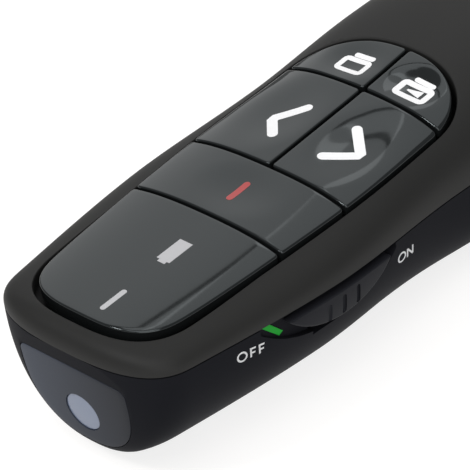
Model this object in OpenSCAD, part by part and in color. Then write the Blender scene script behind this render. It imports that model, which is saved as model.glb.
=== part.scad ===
// Wireless presentation clicker, lying on its underside.
// The laser nose points to -Y, the tail to +Y, and the power slider is on the +X side.
// Places along the body are written as the distance from the nose, so that a change of
// length leaves the keypad where it is and moves only the tail.

/* [Body] */
// Length from the nose to the tail
body_l = 115; // [112:1:140]
// Greatest width, beside the keys
body_w = 37.8; // [36:0.2:46]
// Width just behind the rounded nose
nose_w = 30.2; // [28:0.2:34]
// Width at the waist, where the fingers close
waist_w = 36.2; // [34:0.2:40]
// Width of the palm swell
palm_w = 36.8; // [34:0.2:42]
// Width that the sides run out to at the tail
tail_w = 30; // [26:0.5:34]
// Height of the crown at the nose
nose_h = 22.9; // [22:0.1:25]
// Height of the crown beside the laser key
keypad_h = 23.4; // [23:0.1:26]
// Height of the crown at the waist
waist_h = 24.7; // [24:0.1:28]
// Height of the crown over the palm swell
palm_h = 26.2; // [25.5:0.1:32]
// Height that the crown runs out to at the tail
tail_h = 21.5; // [20.5:0.1:25]
// Wall of the two case halves
wall = 1.8; // [1.4:0.05:2.2]
// Height of the parting line at the nose
part_h = 19.7; // [19:0.1:20.5]
// Fall of the parting line for each millimetre towards the tail
part_fall = 0.06; // [0.04:0.005:0.065]

/* [Keypad] */
// Rim of the case beside the keypad
rim_w = 5.1; // [4.6:0.1:6.5]
// Start of the front panel, from the nose
pad_start = 3.8; // [3.5:0.1:5]
// Length of the glossy front panel
panel_l = 24.6; // [22:0.2:26]
// Length of the laser key
laser_key_l = 11.7; // [10:0.1:13]
// Length of the two page keys
page_key_l = 19; // [17:0.2:23]
// Length of the two rear keys
rear_key_l = 9.5; // [9:0.1:10.5]
// Gap between keys
key_gap = 0.5; // [0.4:0.05:0.8]
// Gap between the keypad and the case
pad_gap = 0.5; // [0.4:0.05:0.8]
// How far the front tiles stand above the case
key_proud = 0.65; // [0.3:0.05:1]
// Depth of the finger dish in a key
dish_d = 0.45; // [0.2:0.05:0.7]
// How far a key travels when it is pressed
key_travel = 0.5; // [0.3:0.05:0.6]

/* [Power slider] */
// Middle of the slider's recess, from the nose
recess_u = 31.5; // [30:0.5:36]
// Length of the recess along the parting line
recess_l = 25.6; // [24:0.2:30]
// Depth of the recess below the parting line
recess_h = 5.8; // [5.4:0.1:6.4]
// Length of the sliding cap
cap_l = 21.4; // [20:0.2:23]
// How far the slider travels from ON to OFF
slider_travel = 3; // [2:0.1:3.4]

/* [Laser] */
// Diameter of the lens in the front window
lens_d = 6; // [5:0.1:7]
// Height of the laser's axis
laser_h = 8.4; // [8:0.1:10]
// Outer diameter of the brass laser tube
barrel_d = 6.4; // [6:0.1:7]
// Length of the brass laser tube
barrel_l = 11; // [9:0.5:14]

/* [Batteries] */
// Length of one cell with its nub
cell_l = 44.5; // [43.5:0.1:44.9]
// Diameter of one cell
cell_d = 10.5; // [8.7:0.05:10.5]
// Space that the contact springs take at one end
spring_l = 2.2; // [1.8:0.1:3]
// Half of the distance between the two cells' axes
cell_x = 5.5; // [5.35:0.05:5.6]
// Height of the cells over the wall that they lie on
cell_lift = 0.55; // [0.45:0.05:0.75]
// Length from the start of the battery door to the tail
door_l = 49; // [47:0.5:51]
// Width of the battery door
door_w = 25; // [24:0.2:26]
// Thickness of the battery door
door_t = 1.4; // [1.2:0.1:1.5]

/* [Receiver] */
// Width of the USB receiver
stick_w = 17; // [16:0.1:17.4]
// Thickness of the USB receiver's case
stick_h = 6.6; // [6:0.1:6.8]
// Length of the metal plug
plug_l = 12; // [11:0.5:12.5]
// Width of the metal plug
plug_w = 12; // [11.9:0.1:12.1]
// Thickness of the metal plug
plug_h = 4.5; // [4.4:0.1:4.6]
// Length of the tapered end that closes the tail
stick_end_l = 7.8; // [7:0.1:8.5]

/* [Hidden] */

// Running fit between a pin and its hole, measured on the radius
fit = 0.15;
// Play between two flat parts that slide or are laid together
play = 0.1;

// Colours
soft_black = [0.16, 0.16, 0.16];
case_black = [0.14, 0.14, 0.16];
gloss_black = [0.05, 0.05, 0.055];
smoke = [0.28, 0.3, 0.34];
lens_grey = [0.5, 0.53, 0.6];
board_green = [0.05, 0.32, 0.2];
flag_green = [0.1, 0.6, 0.2];
steel = [0.75, 0.76, 0.78];
brass = [0.8, 0.65, 0.3];
gold = [0.9, 0.72, 0.3];
chip_black = [0.08, 0.08, 0.09];
clear_white = [0.85, 0.88, 0.9];
cell_red = [0.55, 0.1, 0.1];

// ---- The outer form: curves along the body ----

// Stations where the outline is set: beside the keys, at the waist, over the palm
shoulder_u = 32;
waist_u = 56;
palm_u = 74;
heel_u = body_l - 17;
width_line = [[0, nose_w / 2], [shoulder_u, body_w / 2], [waist_u, waist_w / 2],
    [palm_u, palm_w / 2], [heel_u, (palm_w + tail_w) / 4 + 0.9], [body_l, tail_w / 2]];
crown_line = [[0, nose_h], [shoulder_u, keypad_h], [waist_u, waist_h], [palm_u + 8, palm_h],
    [body_l, tail_h]];
// The underside is flattened at the belly and again under the palm
foot_sink = 0.1;
waist_lift = 0.6;
nose_lift = 2.4;
tail_lift = 2;
keel_line = [[0, nose_lift], [shoulder_u, -foot_sink], [waist_u - 4, waist_lift],
    [palm_u - 6, -foot_sink], [heel_u, 0], [body_l, tail_lift]];

// Lengths over which the nose and the tail round off, in plan and in height
nose_plan_r = 8;
nose_top_r = 3.2;
nose_low_r = 3.6;
tail_plan_r = 15;
tail_side_r = 9;
// Fullness of the sections: 2 is an ellipse, more is squarer
top_full = 2.9;
low_full_line = [[0, 2.3], [42, 2.3], [66, 3.2], [heel_u, 3.2], [body_l, 2.7]];
nose_full = 2.8;
end_full = 2.4;

function slope_at(s, i) =
    let (a = max(i - 1, 0), b = min(i + 1, len(s) - 1)) (s[b][1] - s[a][1]) / (s[b][0] - s[a][0]);
function piece_of(s, u, i = 0) = i >= len(s) - 2 || u < s[i + 1][0] ? i : piece_of(s, u, i + 1);
// Value at u of the smooth curve through the stations s
function along(s, u) =
    let (i = piece_of(s, u), h = s[i + 1][0] - s[i][0], t = (u - s[i][0]) / h,
         from_dir = slope_at(s, i) * h, to_dir = slope_at(s, i + 1) * h)
    (2 * t * t * t - 3 * t * t + 1) * s[i][1] + (t * t * t - 2 * t * t + t) * from_dir
    + (3 * t * t - 2 * t * t * t) * s[i + 1][1] + (t * t * t - t * t) * to_dir;
// How far out a rounded end has come at the share k of its length
function rounded(k, full) = let (c = min(max(k, 0), 1)) pow(1 - pow(1 - c, full), 1 / full);
function part_z(u) = part_h - part_fall * u;
// Share of the full section at u, for a skin that lies inset inside the outer one
function plan_share(u, inset) =
    rounded((u - inset) / (nose_plan_r - inset), nose_full)
    * rounded((body_l - inset - u) / (tail_plan_r - inset), end_full);
function top_share(u, inset) =
    rounded((u - inset) / (nose_top_r - inset), end_full)
    * rounded((body_l - inset - u) / (tail_side_r - inset), end_full);
function low_share(u, inset) =
    rounded((u - inset) / (nose_low_r - inset), end_full)
    * rounded((body_l - inset - u) / (tail_side_r - inset), end_full);
function half_w(u, inset = 0) = (along(width_line, u) - inset) * plan_share(u, inset);
function rise(u, inset = 0) = (along(crown_line, u) - part_z(u) - inset) * top_share(u, inset);
function fall(u, inset = 0) = (part_z(u) - along(keel_line, u) - inset) * low_share(u, inset);

// One section of the upper half, from the +X side over the crown to the -X side
top_steps = 14;
function top_ring(u, inset, skirt) =
    let (w = half_w(u, inset), h = rise(u, inset), z = part_z(u), p = 2 / top_full)
    concat([[w, u, z - skirt]],
        [for (i = [0:top_steps]) let (c = cos(180 * i / top_steps), s = sin(180 * i / top_steps))
            [w * sign(c) * pow(abs(c), p), u, z + h * pow(s, p)]],
        [[-w, u, z - skirt]]);
// One section of the lower half
low_steps = 18;
function low_ring(u, inset, skirt) =
    let (w = half_w(u, inset), h = fall(u, inset), z = part_z(u),
         p = 2 / along(low_full_line, u))
    concat([[w, u, z + skirt]],
        [for (i = [0:low_steps]) let (c = cos(180 * i / low_steps), s = sin(180 * i / low_steps))
            [w * sign(c) * pow(abs(c), p), u, z - h * pow(s, p)]],
        [[-w, u, z + skirt]]);
// Places of the sections: close together where the ends round off to a small blunt tip
end_steps = 6;
mid_steps = 25;
blunt_tip = 0.02;
function stations(inset) =
    let (a = nose_plan_r, b = body_l - tail_plan_r, off = inset + blunt_tip)
    concat([for (i = [0:end_steps - 1]) off + (a - off) * (1 - cos(90 * i / end_steps))],
        [for (i = [0:mid_steps]) a + (b - a) * i / mid_steps],
        [for (i = [end_steps - 1:-1:0])
            body_l - off - (tail_plan_r - off) * (1 - cos(90 * i / end_steps))]);

module segment(a, b) {
    hull() polyhedron(points = concat(a, b), faces = [[for (i = [0:len(a) + len(b) - 1]) i]]);
}
module loft(rings) {
    for (i = [0:len(rings) - 2]) segment(rings[i], rings[i + 1]);
}
module top_skin(inset = 0, skirt = 0) {
    loft([for (u = stations(inset)) top_ring(u, inset, skirt)]);
}
module low_skin(inset = 0, skirt = 0) {
    loft([for (u = stations(inset)) low_ring(u, inset, skirt)]);
}
// Moves a piece drawn from the nose into the frame at the middle of the body
module from_nose() {
    translate([0, -body_l / 2, 0]) children();
}
// A block between two corners
module block(a, b) {
    translate(a) cube(b - a);
}
// Both sides of the body
module both_sides() {
    children();
    mirror([1, 0, 0]) children();
}
// A round post along Z between two heights
module post(x, u, z0, z1, d) {
    translate([x, u, z0]) cylinder(d = d, h = z1 - z0, $fn = 48);
}
// A round bar along Y between two distances from the nose
module bar(x, z, u0, u1, d) {
    translate([x, u0, z]) rotate([-90, 0, 0]) cylinder(d = d, h = u1 - u0, $fn = 48);
}

// ---- The keypad ----

laser_u = pad_start + panel_l + key_gap;
page_u = laser_u + laser_key_l + key_gap;
rear_u = page_u + page_key_l + key_gap;
pad_end = rear_u + rear_key_l;
pad_front_r = 8.6;
pad_rear_r = 11;
pad_front_full = 2.9;
pad_rear_full = 2.3;
row_bow = 0.4;
// Bottom of each row of tiles, and the frame and switches under them
panel_floor = 21.4;
laser_floor = 21.3;
page_floor = 21.5;
rear_floor = 22.4;
frame_top = 20.4;
frame_t = 1;
frame_bottom = frame_top - frame_t;
board_top = 15.6;
board_t = 1.2;
board_bottom = board_top - board_t;
switch_w = 6;
switch_h = 3.1;
plunger_d = 3.2;
plunger_top = board_top + switch_h + 0.7;
stem_d = 3;
guide_d = 1.8;

// Half width of the keypad at u, with its rounded front and rear. front widens its front end
pad_line = [[0, nose_w / 2 - rim_w + 0.4], [8, nose_w * 3 / 8 + body_w / 8 - rim_w + 0.35],
    [16, (nose_w + body_w) / 4 - rim_w + 0.35], [30, body_w / 2 - rim_w - 0.5],
    [44, (body_w + waist_w) / 4 - rim_w + 0.5], [60, waist_w / 2 - rim_w + 0.6],
    [80, palm_w / 2 - rim_w]];
function pad_side(u) = along(pad_line, u);
function pad_half(u, grow = 0, front = 0) =
    let (wide = front * min(max((24 - u) / 14, 0), 1), out = grow + front)
    (pad_side(u) + grow + wide) * rounded((u - pad_start + out) / (pad_front_r + out), pad_front_full)
    * rounded((pad_end + grow - u) / (pad_rear_r + grow), pad_rear_full);
function pad_outline(grow, front) =
    let (n = 44, a = pad_start - grow - front, b = pad_end + grow,
         us = [for (i = [0:n]) a + (b - a) * (1 - cos(180 * i / n)) / 2])
    concat([for (u = us) [pad_half(u, grow, front), u]],
        [for (i = [n:-1:0]) [-pad_half(us[i], grow, front), us[i]]]);
module pad_prism(grow, z0, z1, front = 0) {
    translate([0, 0, z0]) linear_extrude(z1 - z0) polygon(pad_outline(grow, front));
}
// The tiles stand above the case at the front and run flush with it at the rear
function proud(u) = key_proud - (key_proud - 0.1) * min(max((u - laser_u) / 36, 0), 1);
function tile_z(x, u) =
    part_z(u) + (along(crown_line, u) - part_z(u) + proud(u))
    * pow(1 - pow(abs(x) / along(width_line, u), top_full), 1 / top_full);
// A soft round dip, deepest at its middle
function dip(x, u, at, size) =
    let (q = pow((x - at[0]) / size[0], 2) + pow((u - at[1]) / size[1], 2))
    q < 1 ? pow(1 - q, 2) : 0;
// How much a rounded corner takes off at the distance e from the row's edge
corner_r = 0.35;
function corner(e) = e < corner_r ? corner_r - sqrt(corner_r * corner_r - pow(corner_r - e, 2)) : 0;
edge_drop = 0.25;

// A tile on a grid over the crowned keypad. side is 0 for a full-width tile, else 1 or -1
tile_rows = [0, 0.025, 0.06, 0.15, 0.28, 0.42, 0.58, 0.72, 0.85, 0.94, 0.975, 1];
tile_cols = [0, 0.03, 0.12, 0.25, 0.38, 0.5, 0.62, 0.75, 0.88, 0.97, 1];
function tile_x(s, u, u0, u1, side, round_ends) =
    let (e = min(u - u0, u1 - u), cut = round_ends ? corner(max(e, 0)) : 0,
         outer = max(pad_half(u) - cut, key_gap), inner = key_gap / 2 + (round_ends ? cut * 0.5 : 0))
    side == 0 ? -outer + 2 * outer * s : side * (inner + (max(outer, inner + 0.1) - inner) * s);
function tile_point(s, t, u0, u1, side, dish_at, dish_size, round_ends) =
    let (uc = u0 + (u1 - u0) * t, x = tile_x(s, uc, u0, u1, side, round_ends),
         u = uc - row_bow * pow(x / pad_side(uc), 2), on_edge = t == 0 || t == 1 || s == 0 || s == 1)
    [x, u, tile_z(x, u) - dish_d * dip(x, u, dish_at, dish_size) - (on_edge ? edge_drop : 0)];
module tile(u0, u1, side, floor_z, dish_at = [0, 0], dish_size = [1, 1], round_ends = true) {
    m = len(tile_cols);
    n = len(tile_rows);
    top = [for (t = tile_rows) for (s = tile_cols)
        tile_point(s, t, u0, u1, side, dish_at, dish_size, round_ends)];
    low = [for (p = top) [p[0], p[1], floor_z]];
    k = m * n;
    turn = side < 0;
    cells = [for (j = [0:n - 2]) for (i = [0:m - 2]) [j * m + i, j * m + i + 1, (j + 1) * m + i + 1,
        (j + 1) * m + i]];
    up = [for (c = cells) each [[c[0], c[2], c[1]], [c[0], c[3], c[2]]]];
    down = [for (f = up) [f[2] + k, f[1] + k, f[0] + k]];
    loop = concat([for (i = [0:m - 1]) i], [for (j = [1:n - 1]) j * m + m - 1],
        [for (i = [m - 2:-1:0]) (n - 1) * m + i], [for (j = [n - 2:-1:1]) j * m]);
    wall_faces = [for (i = [0:len(loop) - 1]) let (a = loop[i], b = loop[(i + 1) % len(loop)])
        each [[a, b, b + k], [a, b + k, a + k]]];
    all_faces = concat(up, down, wall_faces);
    polyhedron(points = concat(top, low),
        faces = turn ? [for (f = all_faces) [f[2], f[1], f[0]]] : all_faces);
}

// Where each key's stem and its two guide pins stand: [x, u]
laser_mid = laser_u + laser_key_l / 2;
page_mid = page_u + page_key_l / 2;
rear_mid = rear_u + rear_key_l * 0.42;
page_x = 7;
rear_x = 5.6;
laser_at = [0, laser_mid];
next_at = [-page_x, page_mid];
back_at = [page_x, page_mid];
play_at = [rear_x, rear_mid];
blank_at = [-rear_x, rear_mid];
key_places = [laser_at, next_at, back_at, play_at, blank_at];
laser_guides = [[-9, laser_mid], [9, laser_mid]];
function page_guides(side) = [[side * 3, page_mid - 7], [side * 11, page_mid + 6.5]];
function rear_guides(side) = [[side * 2, rear_mid - 2.6], [side * 10, rear_mid - 2]];
all_guides = concat(laser_guides, page_guides(1), page_guides(-1), rear_guides(1),
    rear_guides(-1));

module key_pins(at, guides, floor_z) {
    post(at[0], at[1], plunger_top, floor_z + 0.5, stem_d);
    for (g = guides) post(g[0], g[1], frame_bottom - 0.2, floor_z + 0.5, guide_d);
}
module laser_key() color(gloss_black) from_nose() {
    tile(laser_u, laser_u + laser_key_l, 0, laser_floor, [0, laser_mid], [8, 6]);
    key_pins(laser_at, laser_guides, laser_floor);
}
module page_key(side, at) {
    tile(page_u, page_u + page_key_l, side, page_floor, [side * page_x, page_mid], [6.6, 10]);
    key_pins(at, page_guides(side), page_floor);
}
module rear_key(side, at) {
    tile(rear_u, pad_end, side, rear_floor, [side * rear_x, rear_mid], [5.6, 5]);
    key_pins(at, rear_guides(side), rear_floor);
}
module next_key() color(gloss_black) from_nose() page_key(-1, next_at);
module back_key() color(gloss_black) from_nose() page_key(1, back_at);
module play_key() color(gloss_black) from_nose() rear_key(1, play_at);
module blank_key() color(gloss_black) from_nose() rear_key(-1, blank_at);
module front_panel() color(gloss_black) from_nose()
    tile(pad_start, pad_start + panel_l, 0, panel_floor, [0, 0], [1, 1], false);

module plunger(at) {
    color(chip_black) from_nose() post(at[0], at[1], board_top + switch_h - 0.9, plunger_top,
        plunger_d);
}
module laser_plunger() plunger(laser_at);
module next_plunger() plunger(next_at);
module back_plunger() plunger(back_at);
module play_plunger() plunger(play_at);
module blank_plunger() plunger(blank_at);

// ---- Where the cells and the receiver lie ----

// They run forward from the tail, so that a longer body keeps them under the door
notch_u = body_l - stick_end_l;
slot_half = stick_w / 2 + fit;
bay_end = notch_u - 1.6;
bay_start = bay_end - cell_l - spring_l;
plate_t = 0.3;
chassis_end = notch_u - 0.3;
chassis_start = bay_start - plate_t - 1.1;
cell_h = wall + cell_lift + cell_d / 2;
deck_z = cell_h + cell_d / 2 + play;
deck_t = 0.7;
stick_z = deck_z + deck_t + fit;
// The receiver starts behind the keys and behind the cells' contacts
stick_start = max(chassis_start + 14.4, pad_end + 1.8);
case_start = stick_start + plug_l;

// ---- Frame, board and switches ----

frame_grow = rim_w - wall - 2.4;
// The opening leaves a wider gap round the front panel
front_gap = 0.6;
panel_seat_l = panel_l - 0.6;
light_bar = [2.05, 8.4];
light_cell = [2.05, 20.2];
light_places = [light_bar, light_cell];
guide_post_d = 2.4;
frame_posts = [[-11.3, 23.5], [11.3, 23.5], [-11.3, page_mid + 9.6],
    [11.3, page_mid + 9.6]];
pcb_screw_d = 1.6;
case_screw_at = [[-9.5, 16], [9.5, 16]];
case_screw_d = 2;
case_screw_head_d = 3.8;
boss_d = 5;

module key_frame() color(case_black) from_nose() difference() {
    union() {
        pad_prism(frame_grow, frame_bottom, frame_top, front_gap - 0.2);
        intersection() {
            pad_prism(-0.3, frame_bottom, panel_floor);
            block([-20, 0, frame_bottom], [20, pad_start + panel_seat_l, panel_floor]);
        }
        for (p = frame_posts) post(p[0], p[1], board_top, frame_top, 3.6);
        for (p = case_screw_at) post(p[0], p[1], board_top + 0.6, frame_top, boss_d);
    }
    for (k = key_places) post(k[0], k[1], 0, 30, stem_d + 2 * fit);
    for (g = all_guides) post(g[0], g[1], 0, 30, guide_d + 2 * fit);
    for (p = light_places) post(p[0], p[1], 0, 30, guide_post_d + 2 * fit);
    for (p = frame_posts) post(p[0], p[1], board_top - 1, board_top + 3.4, pcb_screw_d);
    for (p = case_screw_at) post(p[0], p[1], board_top, frame_bottom, case_screw_d);
}

board_half = 13.4;
board_start = 8;
board_end = stick_start - 3.8;
board_nose = 5;
module main_pcb() color(board_green) from_nose() difference() {
    translate([0, 0, board_bottom]) linear_extrude(board_t) polygon([
        [board_half, board_start + board_nose], [board_half, board_end], [-board_half, board_end],
        [-board_half, board_start + board_nose], [-board_half + board_nose, board_start],
        [board_half - board_nose, board_start]]);
    for (p = frame_posts) post(p[0], p[1], 0, 30, pcb_screw_d + 2 * fit);
    for (p = case_screw_at) post(p[0], p[1], 0, 30, boss_d + 0.8);
    for (s = [-1, 1]) block([s * cell_x - 1.3, bay_start - 1.25, 0],
        [s * cell_x + 1.3, bay_start - 0.55, 30]);
}
module tact_switches() color(steel) from_nose() for (k = key_places) difference() {
    translate([k[0], k[1], board_top + switch_h / 2])
        cube([switch_w, switch_w, switch_h], center = true);
    post(k[0], k[1], board_top + 1, 30, plunger_d + 2 * fit);
    for (sx = [-1, 1], sy = [-1, 1]) translate([k[0] + sx * switch_w / 2,
        k[1] + sy * switch_w / 2, board_top - 1]) rotate(45) translate([-0.5, -0.5, 0])
        cube([1, 1, switch_h + 2]);
}
module screw(x, u, head_z, top_z, d, head_d, head_h) {
    difference() {
        union() {
            post(x, u, head_z, head_z + head_h, head_d);
            post(x, u, head_z + head_h / 2, top_z, d);
        }
        for (a = [0, 90]) translate([x, u, head_z]) rotate(a)
            cube([head_d * 0.6, head_d * 0.16, head_h], center = true);
    }
}
module pcb_screws() color(steel) from_nose() for (p = frame_posts)
    screw(p[0], p[1], board_bottom - 1, board_top + 3.2, pcb_screw_d, 3.2, 1);
module case_screws() color(steel) from_nose() for (p = case_screw_at)
    screw(p[0], p[1], screw_seat - 1.4, board_top + 3.4, case_screw_d, case_screw_head_d, 1.4);
module status_leds() color(clear_white) from_nose() for (p = light_places)
    translate([p[0], p[1], board_top + 0.3]) cube([1.6, 0.8, 0.6], center = true);
module light_guides() color(clear_white) from_nose() for (p = light_places)
    post(p[0], p[1], board_top + 0.8, panel_floor, guide_post_d);
module control_chip() color(chip_black) from_nose() {
    translate([-4.5, laser_u - 3, board_bottom - 0.55]) cube([7, 7, 1.1], center = true);
}
module radio_chip() color(chip_black) from_nose() {
    translate([6, laser_u - 4, board_bottom - 0.45]) cube([5, 5, 0.9], center = true);
}
module crystal() color(steel) from_nose() hull() for (s = [-1, 1])
    post(6 + s * 1.4, laser_u + 3, board_bottom - 1.2, board_bottom, 2);
module capacitors() color([0.6, 0.5, 0.35]) from_nose() {
    for (i = [0:3]) block([-8 + i * 2.4, laser_u + 3, board_bottom - 0.8],
        [-6.8 + i * 2.4, laser_u + 5, board_bottom]);
    for (i = [0:2]) block([1.5 + i * 2, laser_u - 10, board_bottom - 0.6],
        [2.5 + i * 2, laser_u - 8.4, board_bottom]);
}
// The printed antenna: a meander of copper on top of the board's nose
antenna_t = 0.1;
antenna_w = 0.6;
antenna_pitch = 1.5;
antenna_l = 4;
module antenna() color(gold) from_nose() for (i = [0:4]) {
    block([-7 + i * antenna_pitch, board_start + 0.8, board_top],
        [-7 + i * antenna_pitch + antenna_w, board_start + 0.8 + antenna_l, board_top + antenna_t]);
    if (i < 4) block([-7 + i * antenna_pitch,
        board_start + 0.8 + (i % 2 == 0 ? antenna_l - antenna_w : 0), board_top],
        [-7 + (i + 1) * antenna_pitch + antenna_w,
        board_start + 0.8 + (i % 2 == 0 ? antenna_l : antenna_w), board_top + antenna_t]);
}

// ---- Case halves ----

// Two low pads, under the belly and on the battery door, that it lies on without rocking
rest_t = 0.25;
rest_half = 5;
rest_l = 7;
rest_u = 27.5;
door_rest_u = body_l - 26;
module rest_pad(u) {
    block([-rest_half, u, 0], [rest_half, u + rest_l, 0.8]);
}
// Cuts the underside flat just above the table, except at the pad
module flat_cut(u) {
    difference() {
        block([-20, 0, -5], [20, body_l, rest_t]);
        block([-rest_half, u, 0], [rest_half, u + rest_l, rest_t + 1]);
    }
}
screw_seat = 6;
well_t = 1.1;
// Snap hooks that hold the halves together behind the screws: [start, length] along the body
snap_l = 5;
snap_t = 1;
snap_deep = 3.2;
snap_nib = 0.5;
snap_places = [waist_u - 6, waist_u + 12, heel_u - 8];
// The hook's outer face stands play inside the narrower end of the wall beside it
function snap_x(u) = min(half_w(u, wall), half_w(u + snap_l, wall)) - play - 0.1;
module snap_hook(u) {
    x = snap_x(u);
    z = part_z(u);
    low = z - snap_deep;
    // The arm hangs from a foot that reaches into the wall above the parting line
    along_body(u, snap_l) polygon([[x - snap_t, low], [x, low], [x + snap_nib, low + 0.6],
        [x + snap_nib, low + 1], [x, low + 1.6], [x, z + 0.3], [x + 0.8, z + 0.3],
        [x + 0.8, z + 1.5], [x - snap_t, z + 1.5]]);
}
module snap_pocket(u) {
    z = part_z(u);
    block([snap_x(u) - 0.1, u - fit, z - snap_deep - fit], [snap_x(u) + snap_nib + fit,
        u + snap_l + fit, z - snap_deep + 1.6 + fit]);
}
// Extrudes a shape drawn over [across, height] along the body
module along_body(u, length) {
    translate([0, u + length, 0]) rotate([90, 0, 0]) linear_extrude(length) children();
}
module top_case() color(soft_black) from_nose() difference() {
    union() {
        difference() {
            top_skin();
            top_skin(inset = wall, skirt = 2);
        }
        // The well round the keys, which the key frame closes from below
        intersection() {
            top_skin(inset = wall / 2);
            pad_prism(pad_gap + well_t, frame_top, 30, front_gap);
        }
        for (u = snap_places) both_sides() snap_hook(u);
    }
    pad_prism(pad_gap, frame_top - 1, 40, front_gap);
    // The tail is open for the receiver's end, and has room for the rest of it
    block([-slot_half, notch_u - play, 0], [slot_half, body_l + 1, 40]);
    block([-slot_half, case_start - 1, 0], [slot_half, body_l, stick_z + stick_h + fit]);
}

// The window's face leans back a little, and stands behind the bowed parting line
face_lean = 4.5;
face_set = 0.65;
brow_h = 16.9;
brow_set = 0.15;
window_t = 1.2;
window_top = 16.6;
window_bottom = 3.4;
window_half = 9.7;
window_turn = 14.5;
block_l = 6.2;
// Draws in the leaning plane of the front face: x to the right, y up, z out of the face
module on_face() {
    translate([0, face_set, part_h]) rotate([90 + face_lean, 0, 0]) children();
}
// Distance of the leaning face from the nose at the height z
function face_u(z) = face_set + (part_h - z) * tan(face_lean);
// Heights measured down the leaning face
function face_y(z) = -(part_h - z) / cos(face_lean);
// The shield: a level top with rounded corners, sides that bow in to a round bottom
function window_outline(grow) =
    let (n = 12, w = window_half + grow, h = window_turn - window_bottom + grow, r = 1.2,
         side = [for (i = [0:n]) let (t = sin(90 * i / n))
             [w * pow(1 - pow(t, 2.6), 1 / 2.2), face_y(window_turn - h * t)]],
         head = [for (i = [0:4]) [w - r + r * sin(90 * i / 4), face_y(window_top + grow - r)
             + r * cos(90 * i / 4)]])
    concat(head, side, [for (i = [n - 1:-1:0]) [-side[i][0], side[i][1]]],
        [for (i = [4:-1:0]) [-head[i][0], head[i][1]]]);
module laser_axis() {
    translate([0, 0, face_y(laser_h)]) children();
}
module front_window() color(smoke) from_nose() on_face() difference() {
    translate([0, 0, -window_t]) linear_extrude(window_t) polygon(window_outline(-0.08));
    translate([0, face_y(laser_h), -window_t - 1]) cylinder(d = lens_d, h = window_t + 2, $fn = 64);
}
module laser_lens() color(lens_grey) from_nose() on_face()
    translate([0, face_y(laser_h), -window_t]) cylinder(d = lens_d - 0.06, h = window_t - 0.1,
        $fn = 64);

// The slider's recess: a lens shape hung from the parting line
function sag(v, chord, deep) =
    let (r = (chord * chord / 4 + deep * deep) / (2 * deep)) sqrt(r * r - v * v) - (r - deep);
function lens_shape(mid, chord, deep, head, blunt = 0) =
    let (n = 18)
    concat([for (i = [0:n]) let (v = chord * (i / n - 0.5), u = mid + v)
            [u, part_z(u) - max(sag(v, chord, deep - blunt) + blunt, head)]],
        [[mid + chord / 2, part_z(mid + chord / 2) - head],
         [mid - chord / 2, part_z(mid - chord / 2) - head]]);
// Extrudes a shape drawn over [distance from the nose, height] along X
module from_side(x0, x1) {
    translate([x0, 0, 0]) rotate([90, 0, 90]) linear_extrude(x1 - x0) children();
}
recess_x = 17;
cap_x = recess_x + 0.35;
cap_u = recess_u + slider_travel / 2;
cap_h = recess_h - 0.5;
cap_head = 1;
stem_l = 4;
stem_h = 2;
stem_z = 13.2;
boss_x = 15;

module door_prism(grow, z_top) {
    block([-door_w / 2 - grow, door_start - grow, -5], [door_w / 2 + grow, body_l + 5, z_top + grow]);
}
door_top = 6;
ledge_w = 0.9;
ledge_t = 1.2;
ledge_play = 0.35;
ledge_end = body_l - 15;
hook_l = 5;
door_start = body_l - door_l;
hook_places = [door_start + 6, door_start + 24];
door_travel = 6;

module bottom_case() color(case_black) from_nose() difference() {
    union() {
        difference() {
            low_skin();
            low_skin(inset = wall, skirt = 2);
        }
        rest_pad(rest_u);
        // The thick nose, which carries the window and the laser tube
        intersection() {
            low_skin(inset = 0.4);
            block([-20, 0, 0], [20, block_l, part_z(block_l) - 0.4]);
        }
        // The boss behind the power slider
        intersection() {
            low_skin(inset = 0.4);
            block([boss_x, recess_u - 15, 10], [20, recess_u + 15, part_z(recess_u + 15) - 0.2]);
        }
        // Screw pillars
        for (p = case_screw_at) intersection() {
            low_skin(inset = 0.4);
            post(p[0], p[1], -5, board_top - 0.2, boss_d);
        }
        // Ledges that the battery door's hooks catch behind
        intersection() {
            difference() {
                low_skin(inset = door_t + ledge_play);
                low_skin(inset = door_t + ledge_play + ledge_t, skirt = 2);
            }
            both_sides() block([door_w / 2 - ledge_w, door_start - 2, -1],
                [door_w / 2 + 1.6, ledge_end, 9]);
        }
    }
    // The leaning front face and the window's seat
    from_side(-30, 30) polygon([[-5, part_h + 1], [brow_set, part_h + 1], [brow_set, part_h],
        [face_u(brow_h), brow_h], [face_u(-5), -5], [-5, -5]]);
    on_face() translate([0, 0, -window_t]) linear_extrude(10) polygon(window_outline(0));
    bar(0, laser_h, 0, 30, barrel_d - 1.6);
    bar(0, laser_h, barrel_u, 30, barrel_d + 2 * 0.05);
    // The door's opening, round the ledges
    difference() {
        door_prism(play, door_top);
        both_sides() block([door_w / 2 - ledge_w, door_start - 2, -5],
            [door_w / 2 + 5, ledge_end, 12]);
    }
    intersection() {
        door_prism(play, door_top);
        difference() {
            block([-20, 0, -10], [20, body_l + 5, 12]);
            low_skin(inset = door_t + ledge_play, skirt = 2);
        }
    }
    for (h = hook_places) both_sides() block([door_w / 2 - ledge_w - 1, h + door_travel - 0.4, 1],
        [door_w / 2 - 0.1, h + hook_l + door_travel + 0.4, 9]);
    // The slider's recess and the slot for its arm
    from_side(recess_x, 30) polygon(lens_shape(recess_u, recess_l, recess_h, -1, 0.9));
    block([0, cap_u - stem_l / 2 - slider_travel - 0.25, stem_z - stem_h / 2 - 0.25],
        [30, cap_u + stem_l / 2 + 0.25, stem_z + stem_h / 2 + 0.25]);
    flag_shape(0.03, 0.5);
    // Screw holes and their counterbores
    for (p = case_screw_at) {
        post(p[0], p[1], -5, 30, case_screw_d + 2 * fit);
        post(p[0], p[1], -5, screw_seat, case_screw_head_d + 0.4);
    }
    for (u = snap_places) both_sides() snap_pocket(u);
    flat_cut(rest_u);
}

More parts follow.
